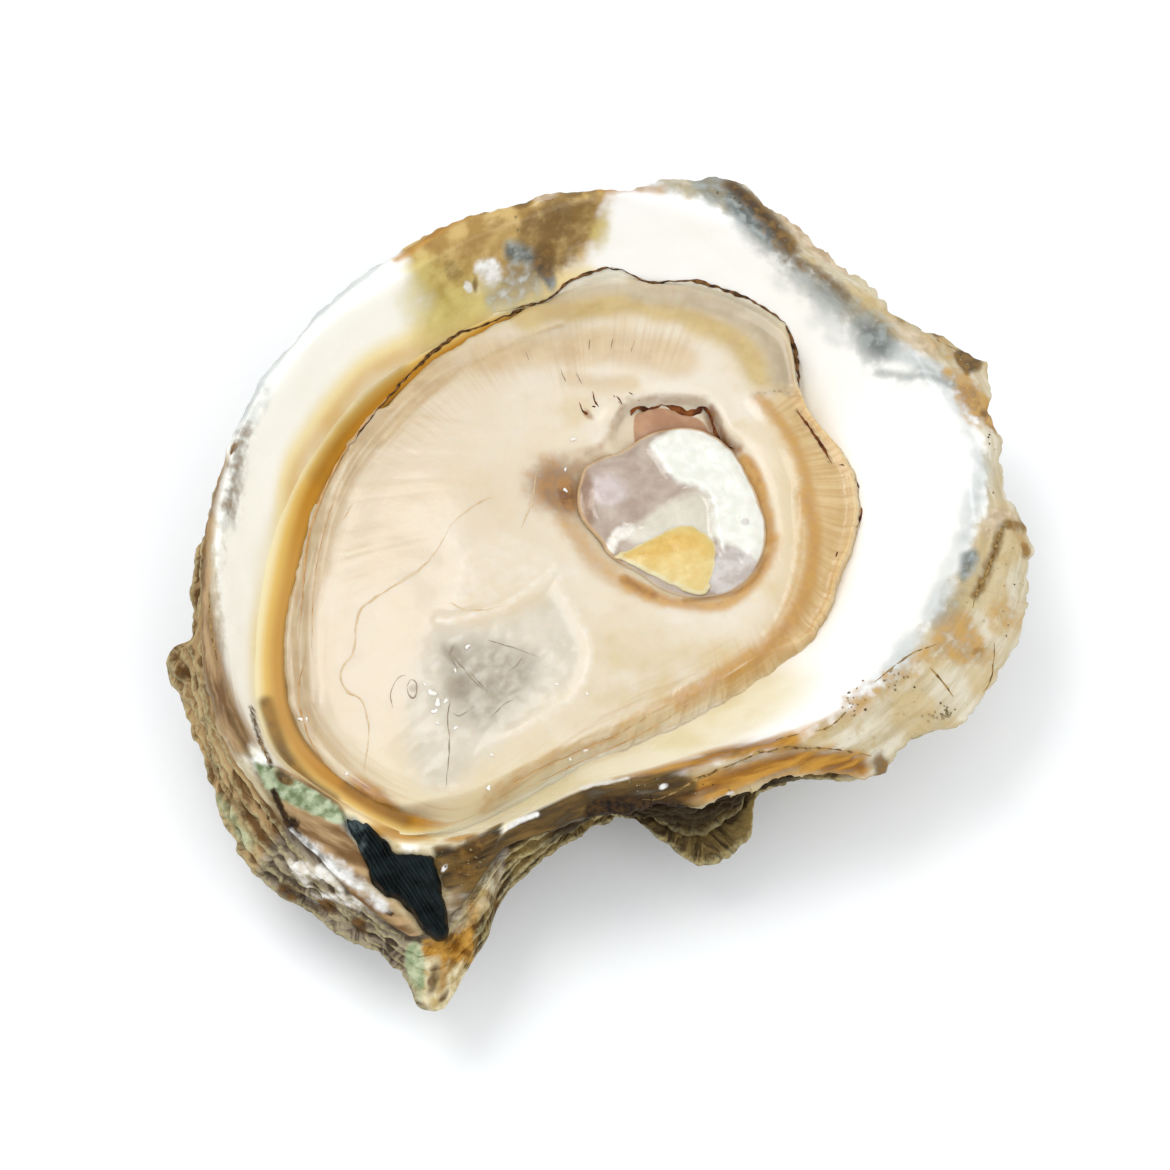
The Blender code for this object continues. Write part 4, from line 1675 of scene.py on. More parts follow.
FRINGE_LINE = (-26.4, 13.4, -23.4, 18, -19.6, 22.9, -17, 25.6, -14.1, 27.8, -9.7, 29.6, -7.7, 31, -5.7, 31.6,
    -2.7, 33.6, 1.3, 34.8, 5.3, 33.8, 9.4, 33.6, 13.5, 32.2, 17.1, 30.3, 19.2, 28.5, 20.3, 25.8, 20.5, 21.8)
GLAND_LIP = (-16.0, -4.8, -14.5, -4.8, -9.5, -3.1, -5.2, 0.2, -4.4, 1.3)
GLAND_SIDE = (-4.4, 1.3, -3.8, -1.3, -1.3, -6.2, -1, -8.8, -1.7, -11.5, -3.5, -13.6, -8.9, -16.8)
GLAND_WINDOW = (-16.3, -5.4, -14.1, -5.6, -10.2, -4.9, -4.8, -1.6, -3.4, -3.2, -2.3, -5.6, -2.2, -9.5,
    -3.4, -11.6, -11, -18.4, -12.8, -20.7, -14.9, -22.2, -17.4, -21.6, -18.9, -18.7, -19.3, -13.7, -18, -8.4)
GLAND_CORE = (-15.6, -7.4, -12.5, -6.6, -9.5, -7, -6.2, -8.4, -5.6, -10.4, -7.4, -12.9, -10, -15.2,
    -12.6, -15.8, -14.8, -13.6, -15.6, -10.1)
LOBE = (-14.1, 2.5, -12.1, 4.1, -9.6, 5.2, -4.4, 2.5, -5.5, 0.3, -10, -3.2, -12, -3.6, -14, -3.3, -15, -2.4,
    -14.8, -0.3)
GILL_OUTER = (20.5, 19.8, 25, 12.2, 25.8, 6.7, 25.2, 2.3, 23.6, -3.1, 21, -7.4, 17.4, -10.1, 12.9, -12.2)
GILL_INNER = (16.4, 19.6, 19.4, 15.3, 20.8, 10.9, 21.4, 5.4, 20.9, -0.1, 19, -4.4, 16, -7.6, 7.9, -12.9)
ROSE_INNER = (-16.4, 25, -20.5, 20.5, -23.5, 16.6, -25.9, 12.7, -27.8, 8.2, -30.1, -2.1, -29.6, -12.8,
    -27.7, -17.6, -25.1, -21.2)
BOTTOM_STREAK = (-11.8, -23.3, -6.9, -19.7, -4, -18.1, 0, -16.8, 4, -14.4, 11.9, -10.7, 14.9, -8.6,
    17.5, -5.4, 19.4, -1.1, 20.2, 3.3, 20.3, 8.8)

MEAT_MARKS: dict[str, tuple[Mark, ...]] = {
    "ash": (
        Streak((4.2, 32.7, 10.4, 31.6, 15.6, 29.2, 18.3, 25.7, 18.9, 22.3), 1.8),
        Streak((-5, 31.4, 0, 32.8, 4.2, 32.7), 1, 0.6),
    ),
    "straw": (
        Streak((-8, 29.7, -2, 30.6, 4.2, 30.9, 10.4, 28.9, 14.5, 26.1, 16.5, 22.4), 2),
        Streak((-16.5, 25.6, -12, 28, -8, 29.5), 1, 0.5),
        Patch((1, -5, 16, -8, 11, -12.4, 3, -15.4, -1, -12), 3.6, 0.4),
    ),
    "fawn": (
        Streak((-12, 25, -4, 25.6, 2, 25.3, 8, 23.9), 2.6, 0.9),
        Streak((-3, 21.9, 0, 21.4, 3.1, 21.4), 1.4, 0.7),
        Streak((-22.5, 15.4, -17.6, 21.2, -12.8, 24.8, -8, 27.2, -4, 28.6), 0.45, 0.75),
        Streak((-19.5, 20, -16, 23, -12, 25), 2, 0.5),
    ),
    "rose": (Streak(ROSE_INNER, 1, 0.5),),
    "gill": (
        Streak((20.3, 18.6, 22.6, 14.6, 23.6, 9.4, 23.6, 3, 21.8, -3, 18.8, -7.6, 13.6, -11), 3),
        Streak((13.6, -11, 8, -13.6, 2, -16.6), 1.8, 0.45),
    ),
    "amber": (
        Streak(GILL_INNER, 0.95, 0.75), Streak(BOTTOM_STREAK, 0.55, 0.45),
        Streak((-5, -21, 0, -19.4, 6, -16, 11, -13.6), 0.4, 0.35),
        Streak((-11.4, -22.4, -7.2, -19.6, -2.6, -17.6, 1, -16.2), 0.3, 0.4),
        Streak((20.8, 8.6, 21.6, 4.4, 20.9, -0.6, 19, -4.6, 16.4, -7.6, 12.6, -10.2), 1.1, 0.85),
    ),
    "tan": (
        Streak((-29.6, -20.1, -26.6, -21.6, -24.6, -22.9, -20.5, -25.5, -17.7, -26), 1, 0.8),
        Patch((-24.6, -20.8, -21.7, -22, -19.6, -24.4, -18.6, -27.4, -21, -26.8, -23.2, -24.4), 1),
    ),
    "window": (Patch(GLAND_WINDOW, 2.4),),
    "core": (Patch(GLAND_CORE, 2.6),),
    "soot": (
        Spot(-14.6, -8.2, 1.6, 1, -50, 0.8), Spot(-13.8, -11.6, 2.2, 1.6, 20, 0.7),
        Spot(-11.4, -11.4, 1.6, 0.8, 40, 0.5), Spot(-18.6, -11.8, 0.6, 0.5, 0, 0.7),
    ),
    "milk": (Streak(GLAND_LIP, 0.55, 0.9), Streak(GLAND_SIDE, 0.6, 0.7), Patch(LOBE, 1, 0.5)),
    "umber": (
        Streak((20.2, 18.9, 21.3, 17.2, 22.6, 15, 23.6, 12.9), 0.5, 0.45),
        Streak((26, 11.6, 26.5, 9.5, 26.6, 7.3, 26, 5.6), 0.6, 0.4),
        Streak((15.9, 20.2, 17.5, 20.7, 19, 21, 20.4, 20.7), 0.3, 0.4),
    ),
    "tear": (
        Streak((11.3, 18.4, 11.9, 16.4, 12.9, 15.1, 13.9, 14.3), 0.9, 0.7),
        Streak((2.4, 18.9, 1.5, 16.9, 0.7, 15.1, -1.2, 13.9), 0.6, 0.35), Spot(-1.2, 17.9, 1, 0.5, -50, 0.5),
        Streak((2, 19.4, 5, 19.9, 8, 19.9, 11, 19.6), 0.5, 0.3),
    ),
    "membrane": (Patch((3.5, 17.5, 3.9, 18.7, 6.4, 19.3, 10, 18.2, 11.2, 16.8, 11.4, 15.8, 7.5, 15.9,
        5.1, 15.3, 3.7, 15.4), 0.35),),
    "pitbrown": (
        Spot(-3.4, 9.6, 1.3, 2.4, 8), Spot(-4.2, 10.2, 3.8, 3.6, 0, 0.75), Spot(-2.8, 12.2, 1.9, 1, 40, 0.6),
    ),
    "pitrust": (
        Patch((14, 13.4, 15.2, 13.4, 16.4, 11.4, 17, 8.6, 16, 8, 14.8, 10.6), 0.7),
        Streak((16.2, 9.4, 17, 6.5, 17, 4.1), 0.8, 0.8),
    ),
    "pitring": (
        Streak((17.4, 4.1, 16.6, 1.4, 14.8, -1, 12.7, -2.6, 10.3, -3, 6.5, -2.3), 0.95, 0.9),
        Streak((6.5, -2.3, 4.4, -1.4, 2.6, -0.2), 1.1, 0.95),
        Streak((-3.9, 6.5, -2, 4.2, 0.1, 1.6, 2.5, -0.2), 1.4, 0.55),
    ),
    "pitdeep": (
        Streak((8.6, -2.2, 12.7, -1.6, 14.6, -0.8, 15.9, 0.7, 16.6, 2.4), 0.5, 0.8),
        Streak((2.5, 0.1, 3.9, -0.8, 5.3, -1.6), 0.7, 0.9),
    ),
}
MEAT_RELIEF = (
    (0.3, (Streak(GLAND_LIP, 0.8), Streak(GLAND_SIDE, 0.9, 0.6))), (-0.3, (Patch(GLAND_CORE, 2.4),)),
    (0.22, (Patch(LOBE, 1.4),)), (-0.3, (Streak((-26.6, 14.6, -28.6, 5, -29.4, -4, -28.8, -13), 0.9),)),
    (-0.16, (Streak((-22.5, 15.4, -17.6, 21.2, -12.8, 24.8, -8, 27.2, -4, 28.6), 0.5),)),
    (0.25, (Streak(GILL_INNER, 1.2), Streak(GILL_OUTER, 0.9))), (0.18, (Streak(BOTTOM_STREAK, 0.7),)),
    (-0.35, (Streak((15.9, 20.2, 17.5, 20.7, 19, 21, 20.4, 20.7), 0.5),)),
    (-0.2, (Streak((3.4, 19, 6.2, 19.7, 8.9, 18.9, 10.5, 19.3, 11.6, 17.5), 0.5),)),
)


@dataclass(frozen=True)
class Meat:
    """The meat: a soft body that runs all round the muscle and out to its thin frilled edge.

    Rings run from the muscle's opening to the outline. Tables give a share of the way and a height.
    """

    sides: int = 760
    top_rings: int = 118
    profile: Rows = (
        (0.0, 16.3), (0.08, 16.9), (0.22, 17.25), (0.45, 17.35), (0.68, 16.75), (0.83, 15.95), (0.9, 15.95),
        (0.945, 16.1), (0.975, 15.85), (0.99, 15.45), (1.0, 15.05),
    )

    def edges(self, angles: Array) -> tuple[Array, Array]:
        """The opening round the muscle and the outline, one point of each at every angle.

        Args:
            angles: degrees round the cup's pole.

        Returns:
            The points of the opening, then those of the outline.
        """
        hole = polar_rings(angles, MUSCLE_EDGE.at(angles) + 0.1, 0.0, MUSCLE_CENTRE)
        rough = 0.25 * Noise(101).along(angles, 3.0, 3)
        limit = CUP.radius(angles, np.full_like(angles, 15.6)) + 1.2
        limit = limit + (self.hem(angles) + 0.1 - limit) * window(angles, 32, 40, 140, 148)
        rim = polar_rings(angles, np.minimum(MEAT_EDGE.at(angles) + rough, limit), 0.0, POLE)
        return hole, rim

    def hem(self, angles: Array) -> Array:
        """Radius of the dark hem at each angle."""
        line_angles, line_radius = CUP.polar(np.reshape(FRINGE_LINE, (-1, 2)))
        return np.interp(angles, line_angles[::-1], line_radius[::-1])

    def relief(self, plan: Array) -> Array:
        """Height of the folds, ribs, pit and gland over the smooth belly, in millimetres.

        Args:
            plan: points whose last axis starts with x and y.

        Returns:
            One height for each point.
        """
        angles, radius = CUP.polar(plan)
        across, reach = plan[..., 0] - MUSCLE_CENTRE[0], plan[..., 1] - MUSCLE_CENTRE[1]
        round_muscle = np.degrees(np.arctan2(reach, across)) % 360
        pit = np.hypot(across, reach) - PIT_EDGE.at(round_muscle)
        sharp = 0.55 + 1.7 * (1 - window(round_muscle, 45, 60, 120, 135))
        top = window(round_muscle, 45, 62, 120, 138)
        left = window(round_muscle, 125, 150, 205, 235)
        total = -(0.3 + 1.1 * top + 0.6 * left) * ease(pit, 0.35 * sharp, -sharp)
        total += 0.22 * bell(pit - 0.9, 0.9) * window(round_muscle, 45, 60, 120, 135)
        depth = MEAT_EDGE.at(angles) - radius
        ribs = Noise(103).at(np.stack([angles * 0.62, depth * 0.12, 0 * depth], axis=-1), 1.0)
        total += 0.05 * ribs * bell(depth - 9.0, 2.6) * window(angles, 62, 74, 98, 112)
        gills = Noise(104).at(np.stack([angles * 0.9, depth * 0.1, 0 * depth], axis=-1), 1.0)
        total += 0.08 * gills * painted(plan, MEAT_MARKS["gill"])
        total += lumps(plan, ((0.16, 105, 9.0), (0.05, 106, 3.2)))
        total += 0.06 * painted(plan, (Patch(GLAND_WINDOW, 1.5),)) * Noise(107).layered(plan, 1.5, 2)
        return total + reliefs(plan, MEAT_RELIEF)

    def build(self) -> bpy.types.Object:
        """Makes the piece with the values that its finish reads.

        Returns:
            The new piece.
        """
        angles = crowded_angles(self.sides, centre=90, width=60, extra=0.3)
        hole, rim = self.edges(angles)
        curve = spline(self.profile)
        shares = 1 - (1 - np.linspace(0, 1, self.top_rings)) ** 1.12
        top = np.stack([hole + (rim - hole) * share for share in shares])
        wall = CUP.height(top)
        height = np.interp(shares, curve[:, 0], curve[:, 1])[:, None] + self.relief(top)
        reach = 0.035 + 0.15 * window(angles, 226, 244, 322, 346)
        taper = ease(1 - shares[:, None], -0.004, reach)
        top[..., 2] = wall + 0.05 + (np.maximum(height, wall + 0.55) - wall - 0.05) * taper
        under = []
        for share in (1.0, 0.985, 0.93, 0.8, 0.5, 0.2, 0.0):
            ring = hole + (rim - hole) * share
            ring[..., 2] = CUP.height(ring) - 0.25
            under.append(ring)
        grid = np.concatenate([top, np.stack(under)])
        plan_angles, radius = CUP.polar(grid)
        values = {key: painted(grid, marks) for key, marks in MEAT_MARKS.items()}
        depth = MEAT_EDGE.at(plan_angles) - radius
        left = window(plan_angles, 112, 132, 205, 236)
        values["rose"] = np.maximum(values["rose"], ease(depth, 5.4, 2.4)) * left
        values["hem"] = ease(depth, 7.0, 1.5) * window(plan_angles, 115, 140, 320, 345)
        values["depth"] = depth
        pleats = bell(depth - 9.0, 2.6) * window(plan_angles, 62, 74, 98, 112)
        faint = window(depth, 1.0, 2.4, 6.0, 9.0)
        faint = faint * window(plan_angles, 40, 60, 140, 160)
        values["spokes"] = np.maximum(0.6 * pleats, 0.34 * faint)
        values["west"] = ease(grid[..., 0], 2.0, -22.0)
        values["south"] = ease(grid[..., 1], -12.0, -24.0)
        values["east"] = ease(grid[..., 0], 15.0, 21.0)
        across, reach = grid[..., 0] - MUSCLE_CENTRE[0], grid[..., 1] - MUSCLE_CENTRE[1]
        pit = np.hypot(across, reach) - PIT_EDGE.at(np.degrees(np.arctan2(reach, across)))
        values["pit"] = ease(pit, 0.8, -1.2)
        return placed(looped_rings("oyster_body", grid, values), "oyster_meat", "meat")


@dataclass(frozen=True)
class MantleFringe:
    """The dark beaded hem of the mantle, along the upper edge of the meat."""

    sides: int = 8
    thickness: float = 0.22

    def build(self, under: Sequence[bpy.types.Object]) -> bpy.types.Object:
        """Makes the hem as one uneven tube that thins to nothing at both ends.

        Args:
            under: the pieces that it lies on.

        Returns:
            The new piece.
        """
        path = laid_path(FRINGE_LINE, under, step=0.11, wobble=0.2, seed=111)
        rows, at = path[:, 3], path[:, :3] * [1, 1, 0]
        beads = 0.65 + lumps(at, ((0.55, 114, 0.7), (0.9, 115, 3.0)))
        ends = ease(rows, 0, 5) * ease(rows, rows[-1], rows[-1] - 2)
        lean = 0.4 + 0.6 * ease(rows, 4, 16)
        radius = self.thickness * np.clip(beads, 0.18, 1.7) * ends * lean + 0.01
        path[:, 2] += 0.04
        rings = tube(path[:, :3], radius, self.sides, 0.8)
        return placed(capped_rings("mantle_fringe", rings), "oyster_meat", "meat")


@dataclass(frozen=True)
class Cords:
    """Fine lines that lie on a surface, each a thin flat cord: veins, torn edges, cracks, and painted shade
    in creases and under a ledge.

    Each line is a row of x and y in turn, and half its width.
    """

    name: str
    node: str
    slot: str
    lines: tuple[tuple[Rows, float], ...]
    wobble: float = 0.07
    flat: float = 0.4
    seed: int = 150

    def build(self, under: Sequence[bpy.types.Object]) -> bpy.types.Object:
        """Makes every line as an uneven tube that thins to both ends.

        Args:
            under: the pieces that the lines lie on.

        Returns:
            The new piece.
        """
        grids = []
        for number, (line, width) in enumerate(self.lines):
            path = laid_path(line, under, 0.12, self.wobble, self.seed + 2 * number)
            rows, at = path[:, 3], path[:, :3] * [1, 1, 0]
            ends = ease(rows, 0, 0.25 * rows[-1]) * ease(rows, rows[-1], 0.7 * rows[-1])
            noise = Noise(self.seed)
            uneven = np.clip(0.75 + 0.5 * noise.at(at, 0.7) + 0.4 * noise.at(at, 2.0), 0.15, 1.5)
            grids.append(tube(path[:, :3], width * uneven * (0.25 + 0.75 * ends) + 0.005, 8, self.flat))
        return placed(many_bodies(self.name, grids), self.node, self.slot)


# painted shade: dark cords where the gland's creases and the mantle's pleats fold
CREASES = Cords(
    "gland_creases", "oyster_meat", "meat",
    (
        ((-15.4, -7.7, -14, -9.2, -12.3, -11.3, -11.2, -12.2), 0.07),
        ((-11.2, -6.8, -9.6, -7.3, -7.6, -8, -6.2, -8.6), 0.055), ((-7.6, -8.5, -8.4, -9.5, -9.1, -10), 0.06),
        ((-14.8, -12.5, -15.1, -14.9, -14.9, -17.2, -15, -19.6, -15.2, -21.6), 0.07),
        ((-19.2, -11.5, -18.8, -10.9, -18.3, -11.2, -18.2, -12.2, -18.5, -12.8, -19, -12.4,
            -19.2, -11.6), 0.09),
        ((-20.6, -13.7, -20.8, -12.2, -20.1, -10.7, -19, -10.3), 0.05),
        ((-12.9, -10.1, -12.2, -11, -11.5, -11.8), 0.08), ((-14.6, -7.2, -14.9, -8.3, -14.2, -9.8), 0.1),
        ((-12.4, -13.6, -13.8, -14.6, -14.6, -14.4), 0.07), ((-10.8, -14.8, -9.4, -13.4, -8.2, -12.9), 0.05),
        ((-7.6, 25.3, -7.2, 24.1), 0.06), ((-4, 23.1, -3.4, 21.4), 0.06), ((-1, 26.5, -1.1, 25), 0.06),
        ((1.4, 26.5, 1.1, 25), 0.06), ((3.6, 26.2, 3.2, 24.6), 0.05), ((-2.4, 22.6, -1.8, 21.2), 0.05),
    ),
)
VEINS = Cords(
    "veins", "oyster_meat", "meat",
    (
        ((-15, 5.6, -16.6, 2.6, -18.3, 0.7, -22.8, -2.3, -24.2, -3.8, -24.6, -7.7, -25.6, -9.2, -25.8, -10.4,
            -25.1, -11.9, -23.7, -12.8, -23.1, -14.6, -22.9, -16.6, -23.4, -20.7), 0.13),
        ((-11, 8.6, -12.8, 7.6, -15, 5.6), 0.09), ((-28.2, 5.6, -26.2, 6.6, -25, 8.6), 0.09),
        ((-8, 5, -6.8, 8.6, -6.4, 12), 0.07),
        ((-15, -2.8, -14, -3.5, -13, -3.8, -11.5, -3.8, -10, -3.4), 0.09),
    ),
)
TORN_EDGES = Cords(
    "torn_edges", "oyster_meat", "meat",
    (
        ((3.2, 18.5, 3.5, 19.1, 4.2, 19.3, 5.1, 19.2), 0.42), ((5, 19.2, 5.7, 19.4, 6.4, 19.7), 0.2),
        ((6.2, 19.7, 7.8, 19.4, 8.9, 18.8, 10, 18.9, 10.5, 19.3, 11.3, 18.6, 11.6, 17.5), 0.42),
        ((11.5, 17.8, 11.8, 16.9, 12.2, 16, 12.9, 15.1, 13.9, 14.4), 0.26), ((-1.6, 18.2, -1.2, 17.8), 0.14),
        ((-0.8, 18.8, -0.4, 18.7), 0.1), ((-2.1, 19.3, -1.8, 18.4, -1.4, 17.8), 0.09),
        ((-0.7, 20.4, -0.5, 19.4, -0.1, 18.7), 0.08), ((1.4, 20, 1.7, 19.5, 2.1, 19), 0.08),
        ((2.9, 20.3, 3.5, 19.9, 4.1, 19.5), 0.09), ((1.7, 19.8, 2.1, 19.3, 2.3, 18.9), 0.12),
        ((2, 2.1, 3.4, 1.3, 4.4, 1), 0.13), ((4.8, 0.8, 6.2, 0), 0.08),
        ((26, 11.4, 26.4, 9.8, 26.5, 7.6, 26, 6), 0.18), ((24.4, 12.7, 25.4, 12.5), 0.1),
        ((24, 3.3, 23.8, 2.7), 0.12), ((20.2, 18.9, 21.3, 17.2, 22.6, 15, 23.6, 12.9), 0.22),
    ),
)
MARGIN = Cords(
    "flesh_margin", "oyster_meat", "meat",
    (
        ((-19.4, 23, -22.6, 19.4, -24.9, 16.2, -27, 12.4, -28.6, 8.2, -29.6, 3.4, -30.1, -6), 0.13),
        ((-29.4, -8, -30, -12, -29, -16.2, -27.4, -19, -25.4, -21.2), 0.1),
        ((-26.6, 10.4, -28, 5, -28.8, -1, -28.8, -8), 0.06),
        ((-11, -22.9, -6.7, -20, -2.6, -18, 2, -15.9, 7.1, -13), 0.05),
        ((-9, -22.6, -3, -19.4, 3.6, -16.2, 9, -12.9), 0.05),
    ),
)
CRACKS_AND_SHADOW_LINE = Cords(
    "shell_cracks_and_shadow_line", "shell", "shell",
    (
        ((34.1, 24.6, 35, 23.9, 36.2, 23.7, 37, 23.4), 0.13),
        ((41, 4.5, 40.2, 3.9, 39.7, 2.6, 39.1, 0.9, 38.4, -0.9, 37.8, -2.2, 37.2, -3.5, 36.9, -4.7), 0.24),
        ((32.3, -10.6, 33.6, -11.8, 34.9, -13.2), 0.14),
        ((39.1, -7.3, 39.1, -9, 38.7, -11.2, 37.8, -12.4), 0.07),
        ((33.2, -8.4, 31.5, -9.2, 29.9, -10.1, 28.5, -11.3, 26.9, -12.6), 0.12),
        ((17.2, -18.5, 18.6, -18.2, 19.8, -18), 0.1), ((20.8, -17.8, 22.8, -17, 24.4, -15.3), 0.12),
        # the cord along LOWER_LINE is a painted shadow line under the edge of the upper layer
        (LOWER_LINE, 0.2), ((-38.6, -3.4, -38.2, -8, -37.2, -12.4), 0.12), ((-36.4, 11.4, -36.8, 10.2), 0.2),
        ((-33.6, -17.3, -32.8, -19.6, -32.2, -21.2), 0.14), ((-6.6, 38.9, -5.4, 38.5, -4.4, 38.9), 0.08),
        ((-3.9, 38.9, -2.9, 38.2, -1.9, 38.6), 0.07),
    ),
)


# ---- The muscle ----

CRESCENT = (5.1, 14.8, 6.1, 15.9, 7.8, 16.8, 9.4, 17, 11.3, 16.4, 14.8, 12.9, 15.6, 10.8, 16.8, 8.9,
    17.4, 6.5, 17.4, 4.8, 16.8, 2.6, 15.2, 1.8, 14.1, 3, 12.8, 3.6, 12.5, 3, 11.5, 5.3, 11.2, 8.6, 9.9, 10,
    7.5, 10.9, 5.9, 13.3)
FLAP = (1.8, 2.9, 7.1, 5.8, 8.8, 6.3, 10.9, 5.3, 11.7, 4.2, 12, 2.7, 11.1, -0.8, 9.2, -1.4, 2.8, 1.9)
SWIRL = (-0.9, 10.4, -0.7, 11.5, 0.7, 12.4, 2.6, 12.7, 4, 12.1, 4.5, 10.6, 3.9, 9.2)
FOLDS = ((2.8, 5.9, 4.6, 6.5, 6.1, 7.4, 7.4, 8.9, 8.8, 9.7), (4.4, 5.6, 6.0, 6.5, 7.4, 7.8, 9.6, 8.9))
MUSCLE_RELIEF = (
    (0.5, (Spot(0.7, 9.7, 6.4, 4.8, 10),)),
    (0.1, (Spot(0.7, 9.8, 2.4, 1.7, -10),)),
    (-0.08, (Streak(SWIRL, 0.5),)),
    (0.14, tuple(Streak(line, 0.35) for line in FOLDS)),
)
MUSCLE_MARKS: dict[str, tuple[Mark, ...]] = {
    "white": (Patch(CRESCENT, 0.75),),
    "pale": (Patch((3, 5, 8.3, 9.3, 10.6, 9.2, 12, 7.1, 12.4, 4.6, 5, 4.1), 1),),
    "grey": (
        Spot(14.7, 6.2, 0.6, 0.5, 0, 0.7),
        Patch((11.2, -1.2, 11.5, 1.6, 12.8, 3.6, 16, 1.8, 14.6, -0.6), 0.5),
    ),
    "ridge": (Patch((0.7, 3.4, 0.9, 4.6, 1.7, 5.5, 2.9, 5.9, 3.6, 5.6, 3.1, 4.7, 1.9, 4.1, 1.3, 2.9), 0.55),),
    "haze": (Spot(0.7, 9.7, 2.5, 1.9, -10),),
    "dusk": (
        Streak(SWIRL, 0.55, 0.8), Spot(5.8, 10.6, 3.4, 1.2, 10, 0.8),
        *(Streak(line, 0.25, 0.7) for line in FOLDS),
    ),
    "brown": (Spot(-1.6, 9.0, 1.2, 4.2, 5),),
}


@dataclass(frozen=True)
class Muscle:
    """The muscle: a lilac dome with a white crescent of tough fibre round its right side."""

    sides: int = 420
    rings: int = 84
    level: float = 16.35

    def relief(self, plan: Array) -> Array:
        """Height over the level top: dome, crescent, swirls and small lumps.

        Args:
            plan: points whose last axis starts with x and y.

        Returns:
            One height in millimetres for each point.
        """
        white = painted(plan, (Patch(CRESCENT, 0.7),))
        total = white * (0.4 + lumps(plan, ((0.08, 121, 1.9), (0.03, 122, 0.8))))
        return total + reliefs(plan, MUSCLE_RELIEF) + lumps(plan, ((0.06, 123, 2.2),))

    def build(self) -> bpy.types.Object:
        """Makes the piece with the values that its finish reads.

        Returns:
            The new piece.
        """
        angles = np.arange(self.sides) * 360.0 / self.sides
        edge = MUSCLE_EDGE.at(angles) + 0.12 * Noise(124).along(angles, 9.0, 2)
        rings = []
        for share in np.linspace(0.02, 1.0, self.rings):
            ring = polar_rings(angles, edge * share, 0.0, MUSCLE_CENTRE)
            drop = 0.35 * ease(np.full(self.sides, share), 0.86, 1.02)
            ring[..., 2] = self.level + self.relief(ring) - drop
            rings.append(ring)
        for grow, drop in ((0.2, 0.1), (0.3, 0.35), (0.06, 1.2), (-0.2, 2.5), (-2.5, 4.5), (-5.0, 7.0)):
            ring = polar_rings(angles, edge + grow, 0.0, MUSCLE_CENTRE)
            ring[..., 2] = np.maximum(rings[self.rings - 1][..., 2] - drop, CUP.height(ring) + 0.3)
            rings.append(ring)
        grid = np.stack(rings)
        values = {key: painted(grid, marks) for key, marks in MUSCLE_MARKS.items()}
        under = ease(np.arange(len(grid)), 0.965 * self.rings, self.rings)[:, None]
        values["under"] = under + np.zeros(grid.shape[:2])
        return placed(capped_rings("adductor", grid, values), "adductor_muscle", "muscle")


@dataclass(frozen=True)
class MuscleFlap:
    """The torn yellow flap of meat that lies across the lower side of the muscle."""

    spans: int = 14
    rings: int = 26
    crown: float = 0.24

    def build(self) -> bpy.types.Object:
        """Makes the flap as a thin lens that follows the muscle's top.

        Returns:
            The new piece.
        """
        outline = roughened(spline(FLAP, closed=True, spans=self.spans), 0.14, 1.0, 131)
        top = Muscle()
        rings = []
        for share in np.linspace(0.03, 1.0, self.rings):
            ring = flat_ring(outline, share)
            lens = self.crown * (1 - share**3) + 0.06 * Noise(133).at(ring, 1.6) * (1 - share**4)
            ring[..., 2] = top.level + top.relief(ring) - 0.06 + lens
            rings.append(ring)
        for share, drop in ((0.97, 0.3), (0.5, 0.5)):
            ring = flat_ring(outline, share)
            ring[..., 2] = top.level + top.relief(ring) - drop
            rings.append(ring)
        grid = np.stack(rings)
        values = {
            "deep": painted(grid, (Streak((2.8, 3.0, 5.0, 3.4, 7.1, 4.0, 9.4, 4.2), 1.3),)),
            "low": ease(grid[..., 1] - 0.25 * grid[..., 0], 1.2, -1.6),
            "edge": ease(inside_distance(grid, outline), 0.9, 0.1),
        }
        return placed(capped_rings("muscle_flap", grid, values), "adductor_muscle", "muscle")


# ---- Hinge pad, liquor and small things ----


@dataclass(frozen=True)
class HingePad:
    """The black pad of horn in the hinge, with fine ridges across it."""

    spans: int = 12
    rings: int = 44
    level: float = 16.45
    ridge: float = 0.13
    pitch: float = 0.8496

    def build(self) -> bpy.types.Object:
        """Makes the pad as a low cushion through its outline.

        Returns:
            The new piece.
        """
        outline = roughened(spline(PAD, closed=True, spans=self.spans), 0.22, 1.6, 141)
        rings = []
        for share in np.linspace(0.03, 1.0, self.rings):
            ring = flat_ring(outline, share)
            along = (ring[:, 0] + 0.62 * ring[:, 1]) / self.pitch
            waves = self.ridge * np.sin(2 * np.pi * along + 1.5 * Noise(143).at(ring, 2.5))
            lens = 0.25 * (1 - share**2) - 0.45 * float(ease(np.array(share), 0.9, 1.0))
            ring[..., 2] = self.level + lens + waves + 0.14 * Noise(144).at(ring, 2.4)
            rings.append(ring)
        for share, drop in ((1.0, 0.7), (0.99, 1.6), (0.5, 2.2)):
            rings.append(flat_ring(outline, share) + [0.0, 0.0, self.level - drop])
        grid = np.stack(rings)
        values = {
            "left": ease(grid[..., 0], -21.0, -24.4),
            "edge": ease(inside_distance(grid, outline), 0.7, 0.0),
        }
        return placed(capped_rings("hinge_pad_horn", grid, values), "hinge_ligament", "hinge_pad")


POCKETS = (
    Streak((-33.2, -13, -31.8, -17.1, -30.5, -19.4, -28.7, -21.5, -26.4, -23.2), 0.9),
    Streak((-24.6, -21.6, -21.9, -23.6, -19.2, -25.2), 1.2, 0.7),
    Streak((-20.6, 23.4, -23.4, 20.6, -26.4, 16.4, -28.7, 11.6), 1.4, 0.45),
)


